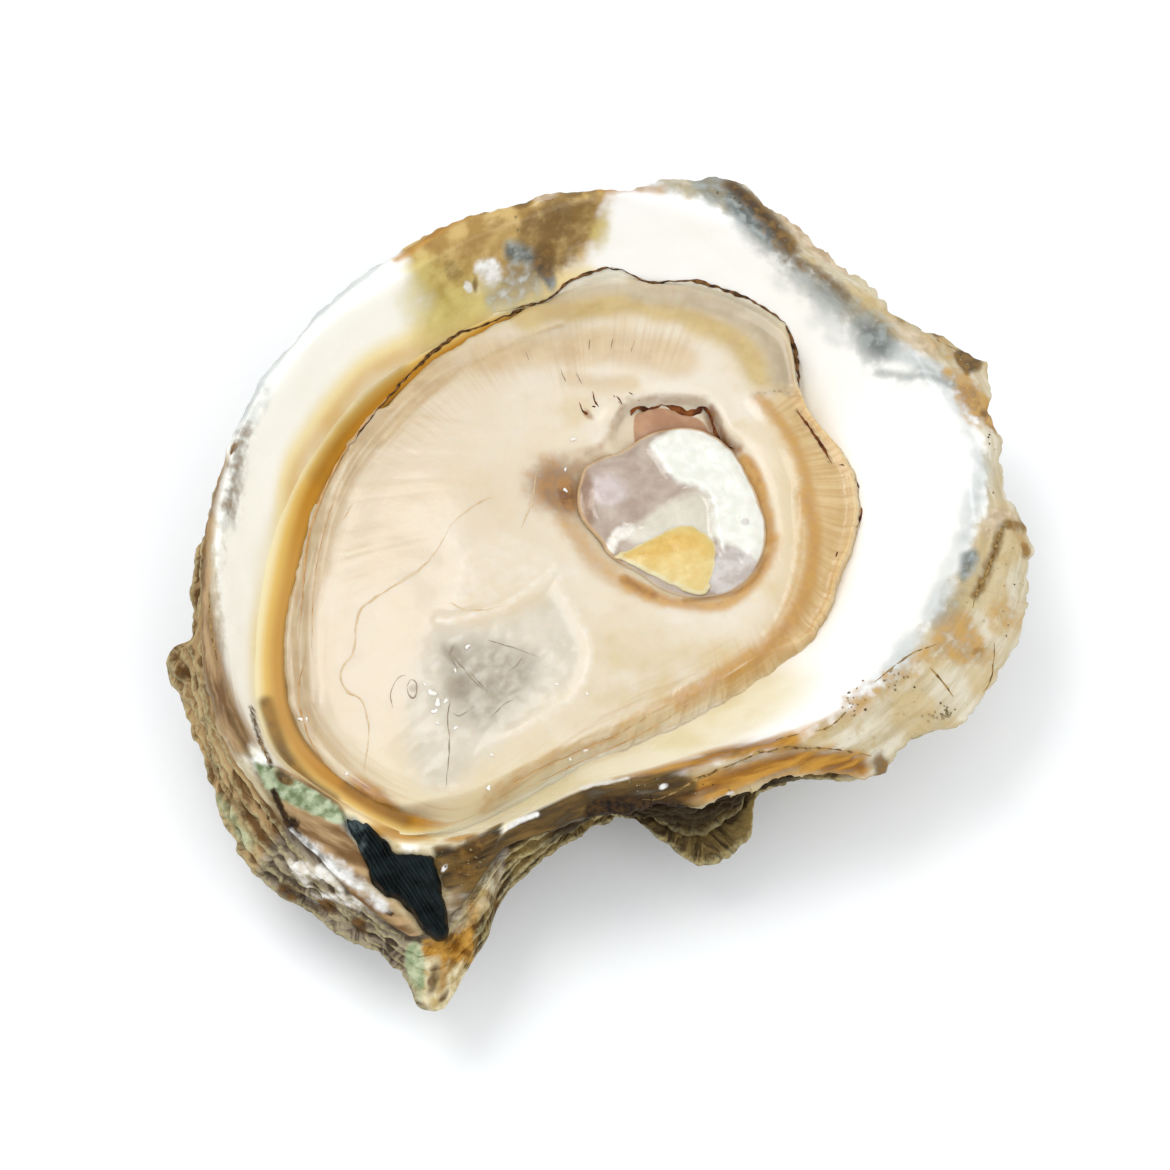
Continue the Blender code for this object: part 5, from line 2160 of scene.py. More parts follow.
@dataclass(frozen=True)
class Liquor:
    """The amber liquor that stands between the meat and the wall of the cup."""

    first: float = 100.0
    last: float = 246.0
    stations: int = 420
    across: int = 22
    bed: int = 8
    over: float = 1.7

    def build(self) -> bpy.types.Object:
        """Makes the pool as a long closed body with a level top and a bed that follows the cup.

        Returns:
            The new piece.
        """
        angles = np.linspace(self.first, self.last, self.stations)
        ends = ease(angles, self.first, self.first + 14) * ease(angles, self.last, self.last - 12)
        outer = CUP.radius(angles, np.full_like(angles, LIQUOR_LEVEL + 0.3)) + 0.2
        inner = MEAT_EDGE.at(angles) - self.over * (0.3 + 0.7 * ends)
        outer = inner + (outer - inner) * np.maximum(ends, 0.1)
        shares = np.concatenate([np.linspace(0, 1, self.across), np.linspace(1, 0, self.bed)])
        rings = [polar_rings(angles, inner + (outer - inner) * share, 0.0, POLE) for share in shares]
        for ring, share in zip(rings[: self.across], shares):
            climb = 0.3 * ease(share, 0.75, 1.0) ** 2
            ring[..., 2] = LIQUOR_LEVEL + climb - 0.45 * (1 - ends)
        for ring in rings[self.across :]:
            ring[..., 2] = np.minimum(rings[0][..., 2] - 0.35, np.maximum(CUP.height(ring) + 0.1, 12.5))
        grid = np.stack(rings, axis=1)
        flat = np.zeros(grid.shape[:2])
        values = {
            "share": shares[None, :] + flat,
            "ends": ends[:, None] + flat,
            "pocket": painted(grid, POCKETS),
            "thin": window(angles, 160, 184, 208, 224)[:, None] + flat,
        }
        values["ends"][:, self.across :] = 0.0
        return placed(capped_rings("liquor_pool", grid, values), "liquor", "liquor")


@dataclass(frozen=True)
class WetGlints:
    """Painted highlights: small white domes on the meat where wet drops catch the light, x, y and radius of
    each.
    """

    sides: int = 10
    drops: Rows = (
        (-13.2, -7.5, 0.26), (-16.7, -12.3, 0.42), (-16.1, -13.3, 0.4), (-16.4, -14.2, 0.3),
        (-17.4, -11.4, 0.2), (-15.3, -13.1, 0.24), (-16.1, -15.4, 0.16), (-14.4, -9.9, 0.2),
        (-14.3, -15.9, 0.2), (-10.7, -18.7, 0.2), (-11.0, -21.7, 0.3), (-4.3, -11.5, 0.18),
        (-1.3, -12.5, 0.18), (-25.0, -20.5, 0.2), (-29.7, -14.8, 0.24), (-29.1, -14.8, 0.18),
        (-2.7, 15.1, 0.24), (-3.5, 10.1, 0.24), (-3.5, 12.3, 0.18), (-1.5, -17.5, 0.26), (-3.0, -18.3, 0.24),
        (-2.4, -21.2, 0.26),
    )

    def build(self, meat: bpy.types.Object) -> bpy.types.Object:
        """Makes the painted highlights as low white domes in one mesh.

        Args:
            meat: the piece that they lie on.

        Returns:
            The new piece.
        """
        table = np.array(self.drops)
        height = surface_heights(meat, table[:, :2])
        n = self.sides
        here, after = np.arange(n), (np.arange(n) + 1) % n
        turn = 2 * np.pi * here / n
        number = np.arange(len(table))[:, None]
        uneven = 1 + 0.38 * np.sin(2 * turn + 2.4 * number) + 0.22 * np.sin(3 * turn + 1.7 * number)
        rows = []
        for spread, lift in ((1.0, -0.1), (0.86, 0.35), (0.5, 0.62)):
            x = table[:, :1] + table[:, 2:] * spread * uneven * np.cos(turn)
            y = table[:, 1:2] + table[:, 2:] * spread * uneven * np.sin(turn)
            z = height[:, None] + table[:, 2:] * lift + 0 * x
            rows.append(np.stack([x, y, z], axis=-1))
        tip = np.stack([table[:, 0], table[:, 1], height + 0.68 * table[:, 2]], axis=-1)[:, None]
        base = np.stack([table[:, 0], table[:, 1], height - 0.15], axis=-1)[:, None]
        points = np.concatenate([*rows, tip, base], axis=1)
        quads = np.concatenate([np.stack([here, after, after + n, here + n], 1) + n * k for k in range(2)])
        top = np.stack([here + 2 * n, after + 2 * n, np.full(n, 3 * n)], 1)
        bottom = np.stack([after, here, np.full(n, 3 * n + 1)], 1)
        first = points.shape[1] * np.arange(len(table))[:, None, None]
        faces = [(block[None] + first).reshape(-1, block.shape[1]) for block in (quads, top, bottom)]
        return placed(make_mesh("wet_glints", points.reshape(-1, 3), faces, {}), "oyster_meat", "liquor")


@dataclass(frozen=True)
class ShellGrit:
    """Specks of grit and dried mud: x, y, spread each way and number of grains of each cluster."""

    clusters: Rows = (
        (34.2, -14.9, 1.6, 0.8, 46), (29.0, -11.9, 1.6, 1.0, 14), (24.9, -15.0, 1.2, 1.6, 16),
        (39.6, 13.0, 0.5, 1.6, 12), (37.4, 22.4, 1.2, 1.2, 10), (-6.0, 37.0, 4.0, 1.6, 8),
        (14.6, 40.0, 2.0, 1.8, 8), (-13.4, -29.6, 2.2, 1.6, 26), (40.0, 9.0, 0.6, 2.0, 6),
        (40.6, -2.0, 1.0, 3.4, 6), (-33.8, -25.0, 2.6, 2.0, 20), (5.0, -23.2, 4.0, 0.8, 18),
    )

    def build(self, cup: bpy.types.Object) -> bpy.types.Object:
        """Scatters the grains over the cup's piece.

        Args:
            cup: the piece that they lie on.

        Returns:
            The new piece.
        """
        rng = np.random.default_rng(7)
        plans, sizes = [], []
        for x, y, wide, deep, count in self.clusters:
            plans.append([x, y] + rng.normal(size=(int(count), 2)) * 0.6 * np.array([wide, deep]))
            sizes.append(rng.uniform(0.06, 0.2, (int(count), 3)))
        plan, size = np.concatenate(plans), np.concatenate(sizes)
        angles, radius = CUP.polar(plan)
        inside = radius < RIM_EDGE.at(angles) - 0.9
        plan, size = plan[inside], size[inside]
        height = surface_heights(cup, plan)
        centres = np.concatenate([plan, (height + 0.03)[:, None]], axis=1)
        return placed(many_grains("shell_grit", centres, size, seed=8), "shell", "shell")


# ---- Finishes ----

OUTSIDE_STAINS = (
    Tint("pale", tone(238, 228, 196), tone(196, 174, 124), Grain.SMALL, 0.35),
    Tint("ochre", tone(206, 162, 86), tone(142, 98, 38), Grain.SMALL, 0.4),
    Tint("fern", tone(206, 212, 178), tone(150, 164, 128), Grain.SMALL, 0.3),
    Tint("chalk", tone(254, 252, 246), tone(224, 214, 196), Grain.SMALL, 0.35, 0.1, 0.7),
    Tint("umber", tone(112, 82, 44), tone(56, 34, 18), Grain.SMALL, 0.7, 0.15, 1.0, 0.9),
)
SHELL_STAINS = (
    Tint("creamy", tone(250, 243, 218), tone(240, 228, 190), Grain.BROAD, 0.2),
    # painted shade: grey inside the pearl's edge and just under the rim
    Tint("painted_edge_shade", tone(214, 218, 216), tone(184, 190, 190), Grain.MIDDLE, 0.5, strength=0.85),
    Tint("olive", tone(212, 184, 126), tone(172, 140, 82), Grain.MIDDLE, 0.55, 0.05, 0.75),
    Tint("moss", tone(218, 206, 134), tone(190, 172, 90), Grain.MIDDLE, 0.4, 0.05, 0.95, 0.8),
    Tint("plate", tone(192, 164, 126), tone(118, 90, 58), Grain.SMALL, 0.4, 0.1, 0.8, streaky=True),
    Tint("rust", tone(204, 156, 78), tone(136, 90, 30), Grain.SMALL, 0.55, 0.0, 0.95, streaky=True),
    Tint("ochre", tone(200, 162, 98), tone(150, 108, 48), Grain.SMALL, 0.8, 0.0, 0.95, 0.9),
    Tint("rosy", tone(222, 206, 180), tone(190, 168, 140), Grain.SMALL, 0.3, 0.2, 0.8),
    Tint("slate", tone(166, 172, 170), tone(98, 104, 102), Grain.SMALL, 0.35, 0.1, 0.95),
    Tint("bark", tone(120, 96, 56), tone(40, 27, 12), Grain.SMALL, 0.5, 0.1, 0.8, streaky=True),
    Tint("fern", tone(196, 206, 176), tone(116, 130, 94), Grain.SMALL, 0.35, 0.2, 0.8),
    Tint("umber", tone(132, 102, 54), tone(74, 52, 24), Grain.SMALL, 0.6, 0.1, 0.95, 0.92),
    # dark crack lines, and painted shade in the hollow over the front notch
    Tint("crack_and_notch_shade", tone(72, 52, 26), tone(26, 17, 9), Grain.FINE, 0.5, 0.1, 0.7),
    # chalk-white shell, and painted highlights on the blister and over the front notch
    Tint("chalk", tone(254, 254, 252), tone(226, 224, 218), Grain.SMALL, 0.4, 0.2, 0.8),
)


@dataclass(frozen=True)
class CupFinish(Finish):
    """Pearl inside, with a chalky, stained frill round it and amber where the liquor has stood."""

    def base(self, sheet: Sheet) -> Wire:
        """Pearl in soft clouds, creamier on the shaded side, then the frill with its growth lines.

        Args:
            sheet: the tree to build in.

        Returns:
            The colour.
        """
        pearl = sheet.blend(sheet.noise(Grain.SLOW).step(0.3, 0.7), self.dark, self.light)
        pearl = sheet.blend(sheet.read("shade") * 0.6, pearl, tone(251, 251, 240, 1.03))
        rings = sheet.noise(Grain.SMALL, sheet.lines("lines", 0.16), 4.0)
        spokes = sheet.noise(Grain.SMALL, sheet.spokes(POLE, 40.0), 3.0)
        chalk = sheet.blend(rings.step(0.36, 0.64), tone(200, 187, 156), tone(226, 218, 198))
        chalk = sheet.blend(sheet.noise(Grain.BROAD).step(0.47, 0.62) * 0.65, chalk, tone(206, 184, 138))
        chalk = sheet.blend(sheet.noise(Grain.MIDDLE).step(0.56, 0.7) * 0.6, chalk, tone(196, 172, 124))
        chalk = sheet.blend(spokes.step(0.6, 0.75) * 0.18, chalk, tone(160, 138, 96))
        chalk = sheet.blend(sheet.noise(Grain.FINE).step(0.64, 0.74) * 0.4, chalk, tone(140, 122, 84))
        edge = sheet.read("frill") + (sheet.noise(Grain.SMALL) - 0.5) * 2.0
        colour = sheet.blend(edge.step(-0.4, 0.9), pearl, chalk)
        pool = sheet.read("pool")
        pool = pool + (sheet.noise(Grain.MIDDLE) - 0.5) * 0.15 * pool.step(0.0, 0.3)
        colour = sheet.blend(pool.step(0.05, 0.6) * 0.8, colour, tone(244, 224, 158, PEARL_LIGHT))
        return sheet.blend(pool.step(0.5, 1.0) * 0.9, colour, tone(214, 166, 78, PEARL_LIGHT))

    def roughness(self, sheet: Sheet) -> Wire:
        """Glossy pearl and a dull frill."""
        dry = sheet.read("frill").step(-0.5, 1.0)
        return sheet.noise(Grain.MIDDLE) * 0.12 + dry * 0.3 + 0.2

    def extra(self, sheet: Sheet) -> dict[str, Any]:
        """A glossy coat on the pearl alone."""
        return {"Coat Weight": sheet.read("frill").step(-0.6, 0.3, 0.45, 0.0)}

    def height(self, sheet: Sheet) -> Wire:
        """Fine growth lines and grit on the frill, and almost nothing on the pearl.

        Args:
            sheet: the tree to build in.

        Returns:
            The relief in millimetres.
        """
        rings = sheet.noise(Grain.FINE, sheet.lines("lines", GROWTH), 4.0)
        dry = sheet.read("frill").step(-0.5, 1.0, 0.06, 1.0)
        return (rings * 0.16 + sheet.noise(Grain.FINE) * 0.12) * dry


@dataclass(frozen=True)
class LayersFinish(Finish):
    """The rough outside: pale layers stained tan, ash or olive, with painted shade in the notches and under
    the rim.
    """

    def base(self, sheet: Sheet) -> Wire:
        """Growth lines in two pale tones with grey and tan clouds.

        Args:
            sheet: the tree to build in.

        Returns:
            The colour.
        """
        rings = sheet.noise(Grain.SMALL, sheet.lines("lines", GROWTH), 4.0).step(0.36, 0.64)
        colour = sheet.blend(rings, self.dark, self.light)
        clouds = sheet.noise(Grain.BROAD)
        colour = sheet.blend(clouds.step(0.54, 0.66) * 0.7, colour, tone(128, 118, 112))
        return sheet.blend(clouds.step(0.44, 0.34) * 0.7, colour, tone(178, 148, 100))

    def region(self, sheet: Sheet, colour: Wire, mask: str, light: Colour, dark: Colour) -> Wire:
        """One region's two tones along the growth lines, laid over the colour.

        Args:
            sheet: the tree to build in.
            colour: what lies under it.
            mask: the region's value in the mesh.
            light, dark: its two tones.

        Returns:
            The colour with the region on it.
        """
        rings = sheet.noise(Grain.SMALL, sheet.lines("lines", GROWTH), 4.0).step(0.38, 0.62)
        share = sheet.read(mask) + (sheet.noise(Grain.MIDDLE) - 0.5) * 0.6
        return sheet.blend(share.step(0.3, 0.7) * 0.92, colour, sheet.blend(rings, dark, light))

    def detail(self, sheet: Sheet, colour: Wire) -> Wire:
        """Regions, then pale worn edges, painted shade in the notches and under the rim, and the stains.

        Args:
            sheet: the tree to build in.
            colour: what lies under it.

        Returns:
            The finished colour.
        """
        colour = self.region(sheet, colour, "tan", tone(190, 160, 116), tone(106, 78, 46))
        colour = self.region(sheet, colour, "ash", tone(152, 140, 122), tone(74, 62, 52))
        colour = self.region(sheet, colour, "olive", tone(136, 114, 62), tone(52, 38, 18))
        worn = (sheet.read("tread") + (sheet.noise(Grain.FINE) - 0.5) * 0.5).step(0.84, 1.12)
        colour = sheet.blend(worn * 0.7, colour, tone(202, 192, 150))
        # painted shade: darker towards the root of each lip, in the notches between the lips
        deep = sheet.read("tread") + (sheet.noise(Grain.MIDDLE) - 0.5) * 0.3
        colour = sheet.blend(deep.step(0.5, 0.0) * 0.8, colour, tone(46, 34, 20))
        # painted shade over the lips in the hollow under the rim
        colour = sheet.blend(sheet.read("dark") * 0.92, colour, tone(44, 30, 16))
        for tint in OUTSIDE_STAINS:
            colour = tint.over(sheet, colour)
        return colour

    def height(self, sheet: Sheet) -> Wire:
        """Fine layers and grit."""
        rings = sheet.noise(Grain.FINE, sheet.lines("lines", GROWTH), 4.0)
        return rings * 0.25 + sheet.noise(Grain.FINE) * 0.2


@dataclass(frozen=True)
class MeatFinish(Finish):
    """Wet creamy flesh: soft clouds, ribs along the mantle, folds, veins and the dark gland."""

    def base(self, sheet: Sheet) -> Wire:
        """Cream in slow clouds, warmer to the east and duller to the west and south.

        Args:
            sheet: the tree to build in.

        Returns:
            The colour.
        """
        cream = sheet.blend(sheet.noise(Grain.SLOW).step(0.35, 0.65), self.dark, self.light)
        drift = sheet.noise(Grain.BROAD, detail=4.0)
        cream = sheet.blend(drift.step(0.5, 0.7) * 0.7, cream, flesh(238, 218, 178))
        cream = sheet.blend(drift.step(0.46, 0.28) * 0.6, cream, flesh(254, 248, 234))
        fine = sheet.noise(Grain.MIDDLE, detail=4.0)
        cream = sheet.blend(fine.step(0.52, 0.74) * 0.25, cream, flesh(230, 210, 178))
        for mask, share, colour in (
            ("west", 0.75, flesh(238, 222, 198)), ("south", 0.6, flesh(245, 231, 192)),
            ("east", 0.7, flesh(236, 214, 170)),
        ):
            cream = sheet.blend(sheet.read(mask) * share, cream, colour)
        return cream

    def detail(self, sheet: Sheet, colour: Wire) -> Wire:
        """Fine ribs across the mantle, and pale freckles.

        Args:
            sheet: the tree to build in.
            colour: what lies under it.

        Returns:
            The finished colour.
        """
        spokes = sheet.noise(Grain.FINE, sheet.spokes(POLE, 30.0), 2.0).step(0.42, 0.62)
        colour = sheet.blend(spokes * sheet.read("spokes") * 0.5, colour, flesh(214, 184, 150))
        gill = sheet.noise(Grain.FINE, sheet.spokes(MUSCLE_CENTRE, 16.0), 2.0).step(0.45, 0.6)
        colour = sheet.blend(gill * sheet.read("gill") * 0.42, colour, flesh(206, 164, 102))
        hems = sheet.noise(Grain.FINE, sheet.lines("depth", 0.06), 3.0)
        colour = sheet.blend(hems.step(0.5, 0.7) * sheet.read("hem") * 0.4, colour, flesh(206, 170, 116))
        return sheet.blend(hems.step(0.46, 0.3) * sheet.read("hem") * 0.4, colour, flesh(250, 240, 214))

    def height(self, sheet: Sheet) -> Wire:
        """A faint grain, and finer ribs where the mantle has them."""
        spokes = sheet.noise(Grain.FINE, sheet.spokes(POLE, 30.0), 2.0)
        return sheet.noise(Grain.SMALL) * 0.06 + spokes * sheet.read("spokes") * 0.08


@dataclass(frozen=True)
class PlainFinish(Finish):
    """A finish that needs nothing over its two tones and its stains."""


@dataclass(frozen=True)
class LiquorFinish(Finish):
    """Amber liquor, thin and nearly clear at the meat and deeper at the wall."""

    def base(self, sheet: Sheet) -> Wire:
        """Amber by the meat, yellow by the wall.

        Args:
            sheet: the tree to build in.

        Returns:
            The colour.
        """
        thin = sheet.read("thin")
        share = sheet.read("share") + (sheet.noise(Grain.BROAD) - 0.5) * 0.12 + thin * 0.08
        deep = sheet.blend(thin * 0.3, self.dark, tone(222, 188, 124, LIQUOR_LIGHT))
        amber = sheet.blend(share.step(0.42, 0.8), deep, tone(228, 194, 118, LIQUOR_LIGHT))
        return sheet.blend(share.step(0.7, 1.0), amber, self.light)

    def extra(self, sheet: Sheet) -> dict[str, Any]:
        """How much of it shows: it fades out over the flesh."""
        return {"Alpha": sheet.read("share").step(0.0, 0.3) * sheet.read("ends")}


FLESH = Body(subsurface=0.35, radius=(2.4, 1.4, 0.8), ior=1.4, coat=0.35, coat_rough=0.12)

CUP_FINISH = CupFinish(
    name="pearl_and_frill", light=tone(255, 255, 254, 1.03), dark=tone(253, 252, 247, PEARL_LIGHT),
    tints=SHELL_STAINS, body=Body(ior=1.25, coat_rough=0.12),
)
LAYERS_FINISH = LayersFinish(
    name="layered_outside", light=tone(214, 204, 182), dark=tone(150, 134, 104), rough=0.62,
    body=Body(ior=1.2),
)
MEAT_FINISH = MeatFinish(
    name="wet_flesh", light=flesh(250, 240, 222), dark=flesh(245, 232, 208),
    tints=(
        Tint("rose", flesh(216, 194, 158), flesh(200, 174, 136), Grain.MIDDLE, 0.25, 0.1, 0.9, 0.9),
        Tint("fawn", flesh(236, 214, 178), flesh(220, 194, 154), Grain.MIDDLE, 0.3, 0.1, 0.9, 0.8),
        Tint("straw", flesh(226, 204, 150), flesh(212, 186, 128), Grain.MIDDLE, 0.4, 0.0, 1.0, 0.95),
        Tint("ash", flesh(214, 200, 174), flesh(196, 180, 152), Grain.MIDDLE, 0.4, 0.0, 0.95, 0.9),
        Tint("gill", flesh(238, 210, 160), flesh(224, 190, 132), Grain.MIDDLE, 0.3, 0.0, 1.0, 0.85),
        Tint("amber", flesh(212, 166, 88), flesh(196, 142, 62), Grain.SMALL, 0.4, 0.0, 1.0, 0.85),
        Tint("tan", flesh(196, 146, 66), flesh(158, 104, 26), Grain.SMALL, 0.3, 0.05, 1.0),
        Tint("pit", flesh(236, 216, 184), flesh(224, 200, 164), Grain.MIDDLE, 0.2, 0.2, 0.9, 0.55),
        Tint("pitring", flesh(224, 180, 110), flesh(206, 154, 80), Grain.SMALL, 0.4, 0.0, 1.0, 0.85),
        Tint("pitrust", flesh(222, 174, 98), flesh(200, 146, 66), Grain.SMALL, 0.3, 0.1, 0.9, 0.9),
        Tint("pitdeep", flesh(204, 156, 90), flesh(168, 120, 62), Grain.SMALL, 0.4, 0.0, 1.0, 0.9),
        Tint("pitbrown", flesh(190, 146, 94), flesh(138, 96, 52), Grain.SMALL, 0.35, 0.0, 1.0),
        Tint("membrane", flesh(212, 170, 134), flesh(188, 142, 108), Grain.MIDDLE, 0.3, 0.3, 0.7, 0.95),
        Tint("window", flesh(236, 228, 212), flesh(224, 216, 198), Grain.MIDDLE, 0.2, 0.05, 0.95, 0.85),
        Tint("core", flesh(202, 194, 178), flesh(178, 168, 150), Grain.SMALL, 0.25, 0.1, 1.0, 0.9),
        Tint("soot", flesh(166, 152, 130), flesh(140, 126, 106), Grain.SMALL, 0.4, 0.1, 1.0, 0.7),
        Tint("milk", flesh(254, 246, 232), flesh(246, 234, 212), Grain.SMALL, 0.15, 0.2, 0.9, 0.8),
        Tint("umber", flesh(122, 100, 56), flesh(70, 52, 28), Grain.FINE, 0.5, 0.25, 0.8, 0.95),
        Tint("tear", flesh(170, 116, 64), flesh(120, 76, 36), Grain.SMALL, 0.35, 0.1, 0.9),
    ),
    rough=0.34, body=FLESH,
)
FRINGE_FINISH = PlainFinish(
    name="dark_hem", light=tone(128, 94, 58), dark=tone(60, 42, 24), grain=Grain.FINE, rough=0.45,
    body=Body(ior=1.2),
)
# painted shade of the creases
CREASE_FINISH = PlainFinish(
    name="painted_crease_shade", light=flesh(176, 162, 138), dark=flesh(140, 126, 104), grain=Grain.SMALL,
)
VEIN_FINISH = PlainFinish(
    name="vein_tan", light=flesh(240, 218, 182), dark=flesh(226, 198, 156), grain=Grain.SMALL,
)
TEAR_FINISH = PlainFinish(
    name="torn_brown", light=tone(140, 86, 44), dark=tone(70, 36, 18), grain=Grain.SMALL, rough=0.4,
    body=Body(ior=1.2),
)
MARGIN_FINISH = PlainFinish(
    name="reddish_line", light=flesh(226, 188, 140), dark=flesh(204, 160, 106), grain=Grain.SMALL,
    body=Body(ior=1.2),
)
# dark cracks, and the painted shadow line along LOWER_LINE
CRACK_AND_SHADOW_FINISH = PlainFinish(
    name="crack_and_shadow_brown", light=tone(176, 150, 102), dark=tone(110, 84, 46), grain=Grain.FINE, rough=0.6,
    body=Body(ior=1.2),
)
MUSCLE_FINISH = PlainFinish(
    name="pearly_fibre", light=tone(196, 182, 168), dark=tone(176, 158, 144), grain=Grain.MIDDLE,
    tints=(
        Tint("haze", tone(220, 208, 206), tone(206, 192, 188), Grain.SMALL, 0.25, 0.1, 0.9, 0.85),
        Tint("dusk", tone(194, 178, 166), tone(176, 158, 146), Grain.SMALL, 0.25, 0.1, 0.95, 0.8),
        Tint("pale", tone(232, 226, 212), tone(218, 212, 196), Grain.MIDDLE, 0.25, 0.1, 0.9, 0.95),
        Tint("white", tone(246, 246, 238), tone(236, 236, 226), Grain.SMALL, 0.3, 0.1, 0.9),
        Tint("grey", tone(222, 216, 212), tone(196, 188, 182), Grain.SMALL, 0.3, 0.2, 0.8, 0.9),
        Tint("ridge", tone(248, 244, 236), tone(232, 226, 214), Grain.SMALL, 0.3, 0.1, 0.9),
        Tint("brown", tone(170, 140, 112), tone(142, 110, 84), Grain.MIDDLE, 0.2, 0.2, 0.9, 0.8),
        Tint("under", tone(216, 188, 150), tone(196, 166, 128), Grain.MIDDLE, 0.3, 0.1, 0.9, 0.85),
    ),
    rough=0.26, relief=((Grain.SMALL, 0.1),),
    body=Body(subsurface=0.3, radius=(1.8, 1.2, 0.9), ior=1.42, coat=0.5, coat_rough=0.06),
)
FLAP_FINISH = PlainFinish(
    name="yellow_flap", light=tone(240, 213, 150), dark=tone(230, 196, 122), grain=Grain.MIDDLE,
    tints=(
        Tint("deep", tone(234, 198, 120), tone(222, 180, 98), Grain.SMALL, 0.25, 0.15, 0.9, 0.8),
        Tint("low", tone(242, 218, 162), tone(234, 204, 142), Grain.SMALL, 0.2, 0.15, 0.9, 0.8),
        Tint("edge", tone(248, 236, 206), tone(238, 220, 180), Grain.SMALL, 0.2, 0.3, 0.9, 0.6),
    ),
    rough=0.3, relief=((Grain.SMALL, 0.12),), body=FLESH,
)
PAD_FINISH = PlainFinish(
    name="black_horn", light=tone(24, 34, 35), dark=tone(4, 8, 8), grain=Grain.MIDDLE,
    tints=(
        Tint("left", tone(84, 96, 98), tone(32, 40, 40), Grain.SMALL, 0.5, 0.4, 1.0, 0.85),
        Tint("edge", tone(60, 48, 34), tone(24, 20, 14), Grain.SMALL, 0.5, 0.5, 1.0, 0.7),
    ),
    rough=0.36, relief=((Grain.FINE, 0.15),), body=Body(coat=0.06, coat_rough=0.15, ior=1.15),
)
LIQUOR_FINISH = LiquorFinish(
    name="amber_liquor", light=tone(248, 236, 196, 1.14), dark=tone(190, 138, 52, 1.25),
    tints=(Tint("pocket", tone(150, 112, 50), tone(98, 70, 24), Grain.MIDDLE, 0.2, 0.0, 1.0, 0.9),),
    rough=0.12, body=Body(ior=1.2),
)
# painted highlight: opaque near-white drops
GLINT_FINISH = PlainFinish(
    name="painted_glint_white", light=tone(255, 255, 252), dark=tone(250, 246, 236), rough=0.1,
    body=Body(ior=1.34, coat=1.0),
)
GRIT_FINISH = PlainFinish(
    name="grit", light=tone(178, 160, 122), dark=tone(58, 46, 28), grain=Grain.MIDDLE, rough=0.7,
    relief=((Grain.FINE, 0.1),),
)

BOARD_FINISH = PlainFinish(
    name="white_board", light=tone(252, 254, 255, 1.0), dark=tone(251, 253, 255, 1.0), rough=0.6,
)


# ---- The studio ----


@dataclass(frozen=True)
class Softbox:
    """A square lamp that faces the object.

    share is what it adds to a level white surface at the origin, where 1 is full white. A lamp's power is
    then share times pi squared times distance squared over the sine of its elevation.
    """

    name: str
    direction: tuple[float, float, float]
    distance: float
    size: float
    share: float

    def build(self) -> None:
        """Makes the lamp and turns it to the origin."""
        ahead = np.array(self.direction) / np.linalg.norm(self.direction)
        lamp = bpy.data.lights.new(self.name, "AREA")
        lamp.shape = "SQUARE"
        lamp.size = self.size
        lamp.energy = self.share * math.pi**2 * self.distance**2 / ahead[2]
        piece = bpy.data.objects.new(self.name, lamp)
        piece.location = tuple(ahead * self.distance)
        x, y, z = ahead
        piece.rotation_euler = (math.acos(z), 0.0, math.atan2(y, x) + math.pi / 2)
        bpy.context.scene.collection.objects.link(piece)


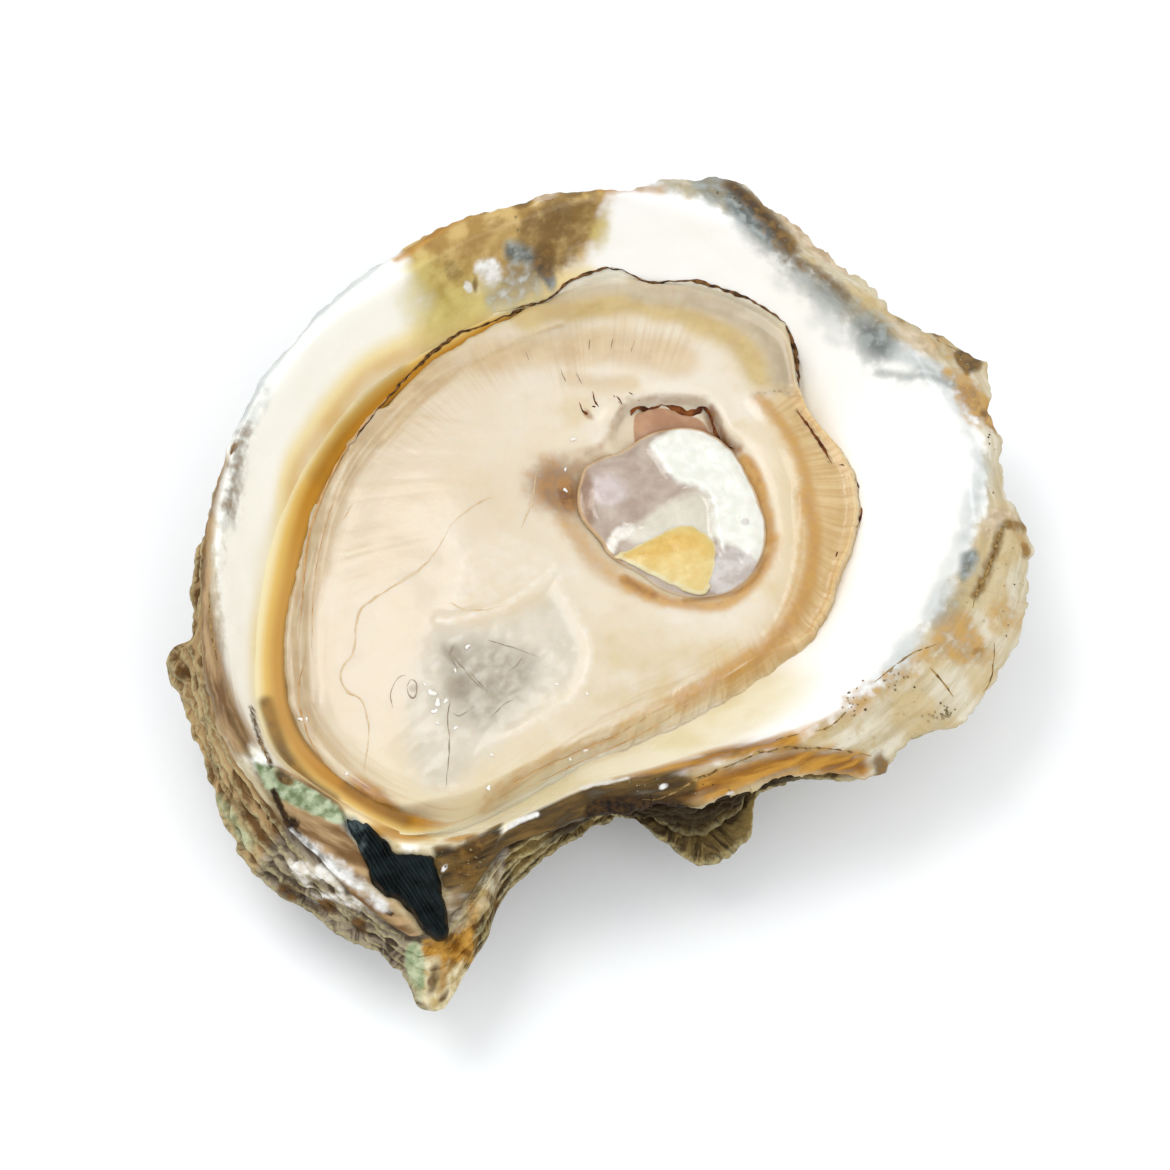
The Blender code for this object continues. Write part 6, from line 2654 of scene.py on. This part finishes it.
@dataclass(frozen=True)
class Studio:
    """A pale floor, a white surround, two softboxes and the camera. Lengths are in metres."""

    floor_size: float = 3.0
    surround: float = 0.92
    surround_colour: Colour = (0.985, 0.994, 1.0)
    camera_place: tuple[float, float, float] = (-0.0015, -0.1473, 0.3796)
    camera_tilt: float = 22.0
    lens: float = 120.0
    lamps: tuple[Softbox, ...] = (
        Softbox("key", direction=(-0.34, 0.26, 0.95), distance=0.8, size=0.34, share=0.25),
        Softbox("fill", direction=(0.44, -0.46, 0.77), distance=0.9, size=0.6, share=0.13),
    )

    def floor(self) -> bpy.types.Object:
        """A large white board under the object.

        Returns:
            The new piece.
        """
        half = self.floor_size / 2 / MM
        corners = half * np.array([[-1, -1, 0], [1, -1, 0], [1, 1, 0], [-1, 1, 0]])
        piece = make_mesh("floor", corners, [np.array([[0, 1, 2, 3]])], {})
        piece.data.materials.append(BOARD_FINISH.make())
        return piece

    def build(self) -> None:
        """Makes the surround, the lamps, the floor and the camera."""
        scene = bpy.context.scene
        scene.view_settings.view_transform = "Standard"
        world = bpy.data.worlds.new("surround")
        world.use_nodes = True
        background = world.node_tree.nodes["Background"]
        background.inputs["Color"].default_value = (*self.surround_colour, 1.0)
        background.inputs["Strength"].default_value = self.surround
        scene.world = world
        for lamp in self.lamps:
            lamp.build()
        self.floor()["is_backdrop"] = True
        eye = bpy.data.cameras.new("camera")
        eye.lens = self.lens
        eye.sensor_width = 36.0
        eye.clip_start = 0.01
        stand = bpy.data.objects.new("camera", eye)
        stand.location = self.camera_place
        stand.rotation_euler = (math.radians(self.camera_tilt), 0.0, 0.0)
        scene.collection.objects.link(stand)
        scene.camera = stand


def main() -> None:
    """Builds the studio and every piece, dresses each and reports it."""
    logging.basicConfig(level=logging.INFO, format="%(name)s: %(message)s")
    Studio().build()
    cup = ShellCup().build()
    meat = Meat().build()
    liquor = Liquor().build()
    dressed = (
        (cup, CUP_FINISH),
        (ShellLayers().build(), LAYERS_FINISH),
        (meat, MEAT_FINISH),
        (MantleFringe().build((cup, meat, liquor)), FRINGE_FINISH),
        (CREASES.build((meat,)), CREASE_FINISH),
        (VEINS.build((meat,)), VEIN_FINISH),
        (TORN_EDGES.build((meat,)), TEAR_FINISH),
        (MARGIN.build((meat, liquor)), MARGIN_FINISH),
        (CRACKS_AND_SHADOW_LINE.build((cup,)), CRACK_AND_SHADOW_FINISH),
        (Muscle().build(), MUSCLE_FINISH),
        (MuscleFlap().build(), FLAP_FINISH),
        (HingePad().build(), PAD_FINISH),
        (liquor, LIQUOR_FINISH),
        (WetGlints().build(meat), GLINT_FINISH),
        (ShellGrit().build(cup), GRIT_FINISH),
    )
    for piece, finish in dressed:
        piece.data.materials.append(finish.make())
        LOG.info("%s: %d faces, %s", piece.name, len(piece.data.polygons), finish.name)
    boxes = {"cad": CAD_BOUNDS, "visual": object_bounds()}
    {key: [list(corner) for corner in box] for key, box in boxes.items()}


if __name__ == "__main__":
    main()
